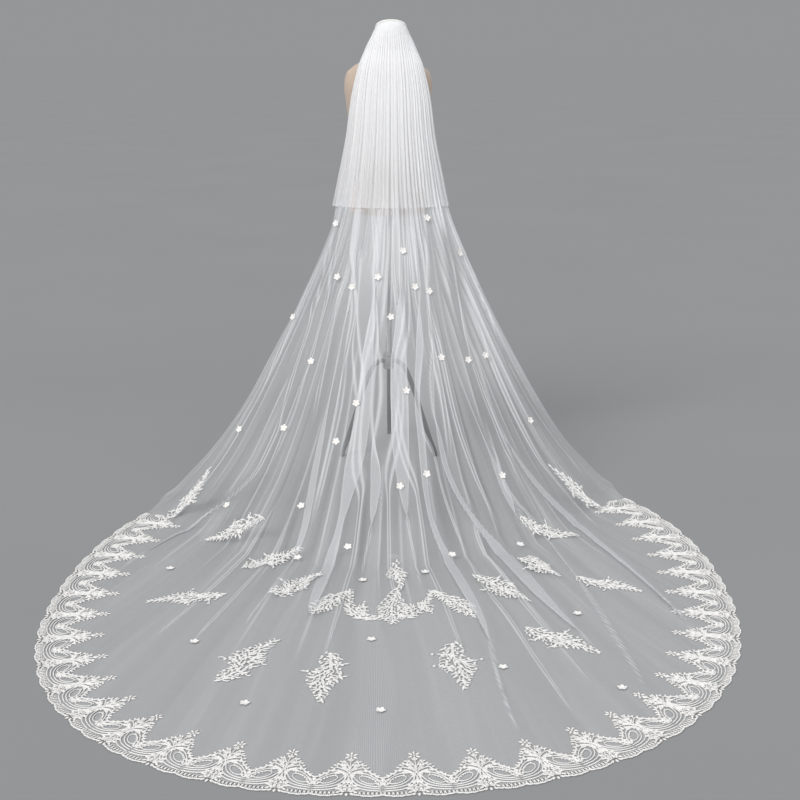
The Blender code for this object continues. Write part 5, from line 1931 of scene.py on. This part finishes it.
@dataclass(frozen=True)
class DressForm:
    """The padded form under the veil, its neck cap, pole and three legs."""

    sides: int = 128
    rows: int = 132
    seam_depth: float = 0.0016
    seam_width: float = 0.0028
    seams: tuple[float, ...] = (90.0, 270.0, 0.0, 180.0, 52.0, 128.0, 236.0, 304.0)
    waist: float = 1.172
    plate: tuple[float, ...] = (-0.004, 1.505, 0.058, 0.062)    # its middle and half sizes
    leg_angles: tuple[float, ...] = (90.0, 210.0, 330.0)
    leg_radius: float = 0.0095
    leg_sides: int = 24

    # One leg's route: how far from the pole, and how high.
    LEG = (
        (0.0236, 0.385), (0.042, 0.385), (0.070, 0.370), (0.096, 0.330), (0.130, 0.250),
        (0.165, 0.158), (0.198, 0.070), (0.216, 0.030), (0.222, 0.012), (0.222, 0.0005),
    )
    TIP = 0.0002              # radius at which a tube closes
    AXIS = 0.0004             # radius at which a turned shape closes

    def torso(self, material: bpy.types.Material) -> bpy.types.Object:
        """The form: oval sections carried from neck to hip, rolled in at both ends.

        Each section is two half ellipses, fuller in front. Seams are grooves with the
        profile of a bell, along the middles, the sides, the bust lines and round each
        armhole's plate.
        """
        table = np.array(FORM)[::-1]
        height = np.linspace(table[0, 0], table[-1, 0], self.rows)[::-1]
        rows = monotone_curve(table[:, 0], table[:, 1:], height)
        turn = round_turn(self.sides)[None, :]
        half, front, back = (rows[:, k][:, None] for k in range(3))
        x, y = half * np.cos(turn), np.where(np.sin(turn) > 0, front, back) * np.sin(turn)
        z = np.broadcast_to(height[:, None], x.shape)
        reach = np.hypot(x, y)
        keep = 1 - self.seam_depth * self._grooves(turn, y, z, reach) / reach
        shell = np.stack([x * keep, y * keep, z], axis=-1)
        top = np.stack([shell[0] * (s, s, 1) for s in (0.02, 0.6, 0.93)])
        base = np.stack([shell[-1] * (s, s, 1) for s in (0.985, 0.93, 0.6, 0.02)])
        points = np.concatenate([top, shell, base]) + POLE
        return self._closed("form_torso", points, material, "torso", "form_jersey")

    def _grooves(self, turn: Array, y: Array, z: Array, reach: Array) -> Array:
        """How deep the seams lie at each point of the form, from 0 to 1."""
        groove = np.zeros_like(reach)
        for degrees in self.seams:
            gap = np.angle(np.exp(1j * (turn - math.radians(degrees)))) * reach
            groove = np.maximum(groove, bell(gap / self.seam_width))
        y_middle, z_middle, half_deep, half_high = self.plate
        plate = np.hypot((y - y_middle) / half_deep, (z - z_middle) / half_high)
        side = np.abs(np.cos(turn)) > 0.5
        rim = bell((plate - 1) * 0.06 / self.seam_width)
        groove = np.where(side & (plate < 1), 0.0, groove)
        groove = np.maximum(groove, np.where(side, rim, 0))
        return np.maximum(groove, bell((z - self.waist) / self.seam_width))

    @staticmethod
    def _closed(name: str, points: Array, material: bpy.types.Material, node: str,
                slot: str) -> bpy.types.Object:
        """A piece from rows of points round an axis, closed at both ends."""
        rows, sides = points.shape[:2]
        quads = np.concatenate([grid_quads(rows, sides, round_columns=True), end_lids(rows, sides)])
        return add_piece(name, points, quads, material, node)

    def _turned(self, name: str, node: str, slot: str, profile: Sequence[Sequence[float]],
                material: bpy.types.Material, sides: int) -> bpy.types.Object:
        """A profile of radius and height, from top to bottom, carried round the pole's axis."""
        radius, height = np.array(profile, dtype=float).T
        turn = round_turn(sides)
        x, y = radius[:, None] * np.cos(turn), radius[:, None] * np.sin(turn)
        z = np.broadcast_to(height[:, None], x.shape)
        return self._closed(name, np.stack([x, y, z], axis=-1) + POLE, material, node, slot)

    def cap(self, material: bpy.types.Material) -> bpy.types.Object:
        """The wooden neck cap: a squared dome on an upright side, a groove round its foot.

        The dome's radius and rise are the cosine and sine of a quarter turn, each raised to
        2 over its squareness.
        """
        low, edge, top, wide, squareness = 1.7063, 1.7130, 1.7480, 0.0462, 2.2
        within = wide - 0.0009
        rise = np.linspace(0.5 * math.pi - 0.02, 0, 15)
        radius = wide * blunted(np.cos(rise), squareness)
        dome = np.stack([radius, edge + (top - edge) * blunted(np.sin(rise), squareness)], axis=-1)
        foot = np.array((
            (wide, 1.7112), (within, 1.7105), (within, 1.7100), (wide, 1.7094),
            (wide, 1.7072), (within, low), (0.030, low), (self.AXIS, low),
        ))
        profile = np.concatenate([[(self.AXIS, top)], dome, foot])
        return self._turned("form_neck_cap", "neck_cap", "cap_wood", profile, material, 96)

    def pole(self, material: bpy.types.Material) -> bpy.types.Object:
        """The pole with its flange under the form and the collar that holds the legs."""
        top, flange, pole, collar, low = 0.9997, 0.050, 0.0125, 0.0236, 0.350
        profile = (
            (self.AXIS, top), (0.030, top), (flange - 0.002, top), (flange, top - 0.002),
            (flange, top - 0.006), (flange - 0.002, top - 0.008), (0.022, top - 0.0085),
            (0.0165, top - 0.012), (0.0150, top - 0.034), (pole, top - 0.038),
            (pole, 0.80), (pole, 0.60), (pole, 0.424), (0.0150, 0.422), (0.0185, 0.4165),
            (collar - 0.002, 0.4150), (collar, 0.4125), (collar, 0.404), (collar - 0.001, 0.4025),
            (collar, 0.401), (collar, 0.362), (collar - 0.001, 0.3605), (collar, 0.359),
            (collar, 0.3525), (collar - 0.002, low), (0.010, low), (self.AXIS, low),
        )
        return self._turned("stand_pole_tube", "stand_pole", "stand_enamel", profile, material, 48)

    def leg(self, number: int, material: bpy.types.Material) -> bpy.types.Object:
        """One bent tube from the collar to the floor, a circle carried along a smooth path."""
        path = smooth_path(np.array([self.LEG]), 73)[0]
        way = unit(np.gradient(path, axis=0))
        path = np.concatenate([path[:1], path, path[-1:]])
        way = np.concatenate([way[:1], way, way[-1:]])
        thick = np.full((len(path), 1), self.leg_radius)
        thick[0] = thick[-1] = self.TIP
        turn = round_turn(self.leg_sides)[None, :]
        over = thick * np.cos(turn)
        radial = path[:, :1] - over * way[:, 1:]
        height = path[:, 1:] + over * way[:, :1]
        aside = thick * np.sin(turn)
        c, s = heading_way(self.leg_angles[number - 1])
        x, y = radial * c - aside * s, radial * s + aside * c
        points = np.stack([x, y, np.maximum(height, 0.0)], axis=-1) + POLE
        name, node = f"stand_leg_tube_{number}", f"stand_leg_{number}"
        return self._closed(name, points, material, node, "stand_enamel")


# ---- studio
class Lamp(NamedTuple):
    """One very large soft light, as wide as its spread and far away."""

    name: str
    azimuth: float            # where it stands round the form, degrees from -Y towards +X
    elevation: float
    spread: float             # degrees of sky that it fills
    power: float
    colour: Colour


LAMPS = (
    Lamp("key_light", -38.0, 42.0, 34.0, 2.05, (1.0, 0.99, 0.975)),
    Lamp("front_light", 24.0, 28.0, 60.0, 0.95, (0.98, 0.99, 1.0)),
    Lamp("back_light", 170.0, 48.0, 50.0, 0.65, (1.0, 1.0, 1.0)),
)


@dataclass(frozen=True)
class Studio:
    """A pale floor, soft lights, a plain surround and the camera."""

    camera_place: tuple[float, float, float] = (0.047, -5.33, 1.63)
    camera_pitch: float = 14.9
    lens: float = 58.95
    sensor: float = 36.0
    floor_reach: float = 400.0
    floor_below: float = 0.0002
    floor_tones: tuple[Colour, Colour] = ((0.280, 0.285, 0.291), (0.300, 0.305, 0.312))
    surround: Colour = (0.30, 0.305, 0.313)

    def camera(self) -> None:
        """The camera, looking along +Y and down by its pitch."""
        data = bpy.data.cameras.new("camera")
        data.sensor_width = self.sensor
        data.lens = self.lens
        data.clip_end = 500.0
        camera = add_object("camera", data)
        camera.location = tuple(np.array(self.camera_place) + POLE)
        camera.rotation_euler = (math.radians(90.0 - self.camera_pitch), 0.0, 0.0)
        bpy.context.scene.camera = camera

    def floor(self) -> None:
        """A very large round of matt floor just under the train, as pale as the surround."""
        reach, sides = np.array([self.floor_reach, 100.0, 20.0, 5.0, 2.0, 0.02]), 64
        turn = round_turn(sides)
        ring = np.stack([np.cos(turn), np.sin(turn), 0 * turn], axis=-1)
        points = reach[:, None, None] * ring - (0, 0, self.floor_below)
        quads = grid_quads(len(reach), sides, round_columns=True)[:, ::-1]
        mesh = build_mesh("studio_floor", points, quads, smooth=False)
        start = start_material("studio_paper", 0.9)
        noise = start.graph.noise(start.place, 0.6, 2.0)
        light, deep = self.floor_tones
        colour = start.graph.mix(noise, (*light, 1.0), (*deep, 1.0))
        start.graph.put(start.shader.inputs["Base Color"], colour)
        start.shader.inputs["Specular IOR Level"].default_value = 0.0
        mesh.materials.append(start.material)
        add_object("studio_floor", mesh)

    def lights(self) -> None:
        """The soft lights and the plain surround."""
        for lamp in LAMPS:
            data = bpy.data.lights.new(lamp.name, "SUN")
            data.angle = math.radians(lamp.spread)
            data.energy, data.color = lamp.power, lamp.colour
            tip, turn = math.radians(90.0 - lamp.elevation), math.radians(lamp.azimuth)
            add_object(lamp.name, data).rotation_euler = (tip, 0.0, turn)
        world = bpy.data.worlds.new("plain_surround")
        world.use_nodes = True
        shade = world.node_tree.nodes["Background"]
        shade.inputs["Color"].default_value = (*self.surround, 1.0)
        shade.inputs["Strength"].default_value = 1.0
        bpy.context.scene.world = world
        bpy.context.scene.view_settings.view_transform = "Standard"

    def build(self) -> None:
        """Sets up the whole studio."""
        self.camera()
        self.floor()
        self.lights()


# ---- the whole
def lay_lace(surface: VeilSurface, yarn: bpy.types.Material,
             petal: bpy.types.Material) -> list[bpy.types.Object]:
    """Lays the border, the sprigs and the garland."""
    line = BorderLine(surface)
    border = LaceBorder()
    laid = [
        border.lay(line, LaceRepeat.cords(), "lace_border_cords", yarn),
        border.lay(line, LaceRepeat.florets(), "lace_border_florets", petal),
        border.lay(line, LaceRepeat.filling(), "lace_border_filling", yarn),
    ]
    LOG.info("lace border: %s faces", [len(piece.data.polygons) for piece in laid])
    applique = Applique(surface)
    for number, sprig in enumerate(SPRIGS, start=1):
        sheet = SprigSheet.draw(number).turned(
            math.radians(sprig.heading), sprig.length, (sprig.x, sprig.y), number % 2 == 0
        )
        name, node = f"sprig_embroidery_{number:02d}", f"sprig_{number:02d}"
        laid.append(applique.lay(sheet, name, node, yarn))
    laid.append(applique.lay(Garland.draw(), "garland_embroidery", "garland", yarn))
    LOG.info("appliques laid")
    return laid


def sew_blossoms(surface: VeilSurface, petal: bpy.types.Material) -> list[bpy.types.Object]:
    """Sews on every blossom; the fainter ones come last and have no node."""
    places = blossom_places(HANGING, LYING)
    faint = blossom_places(FAINT_HANGING, FAINT_LYING)
    nodes = [f"blossom_{k:02d}" for k in range(1, len(places) + 1)] + [None] * len(faint)
    flower = Blossom()
    sewn = [
        flower.sew(surface, place, number, petal, node)
        for number, (place, node) in enumerate(zip(places + faint, nodes), start=1)
    ]
    LOG.info("blossoms: %d", len(sewn))
    return sewn


def dress_veil(surface: VeilSurface, effects: Effects) -> None:
    """Builds the cloth, the lace and everything sewn to it."""
    sheer, dense = SHEER_TULLE.build(effects), DENSE_TULLE.build(effects)
    yarn, petal = LACE_YARN.build(effects), PETAL_YARN.build(effects)

    tier, upper = LongTier(), ShortTier()
    long_tier = tier.build(surface, sheer)
    LOG.info("long tier: %d faces", len(long_tier.data.polygons))
    short_tier = upper.build(surface, dense)
    LOG.info("short tier: %d faces", len(short_tier.data.polygons))
    header = Header().build(surface, RIBBON_SATIN.build(effects))
    LOG.info("header: %d faces", len(header.data.polygons))
    sewn = lay_lace(surface, yarn, petal) + sew_blossoms(surface, petal)


def dress_form(effects: Effects) -> None:
    """Builds the form and its stand."""
    form = DressForm()
    form.torso(FORM_JERSEY.build(effects))
    form.cap(CAP_WOOD.build(effects))
    form.pole(POLE_ENAMEL.build(effects))
    enamel = STAND_ENAMEL.build(effects)
    for number in range(1, len(form.leg_angles) + 1):
        form.leg(number, enamel)
    LOG.info("form and stand built")


def main() -> None:
    """Builds everything in order."""
    logging.basicConfig(level=logging.INFO, format="%(name)s: %(message)s")
    Studio().build()
    effects = Effects()
    dress_veil(VeilSurface(), effects)
    dress_form(effects)


if __name__ == "__main__":
    main()
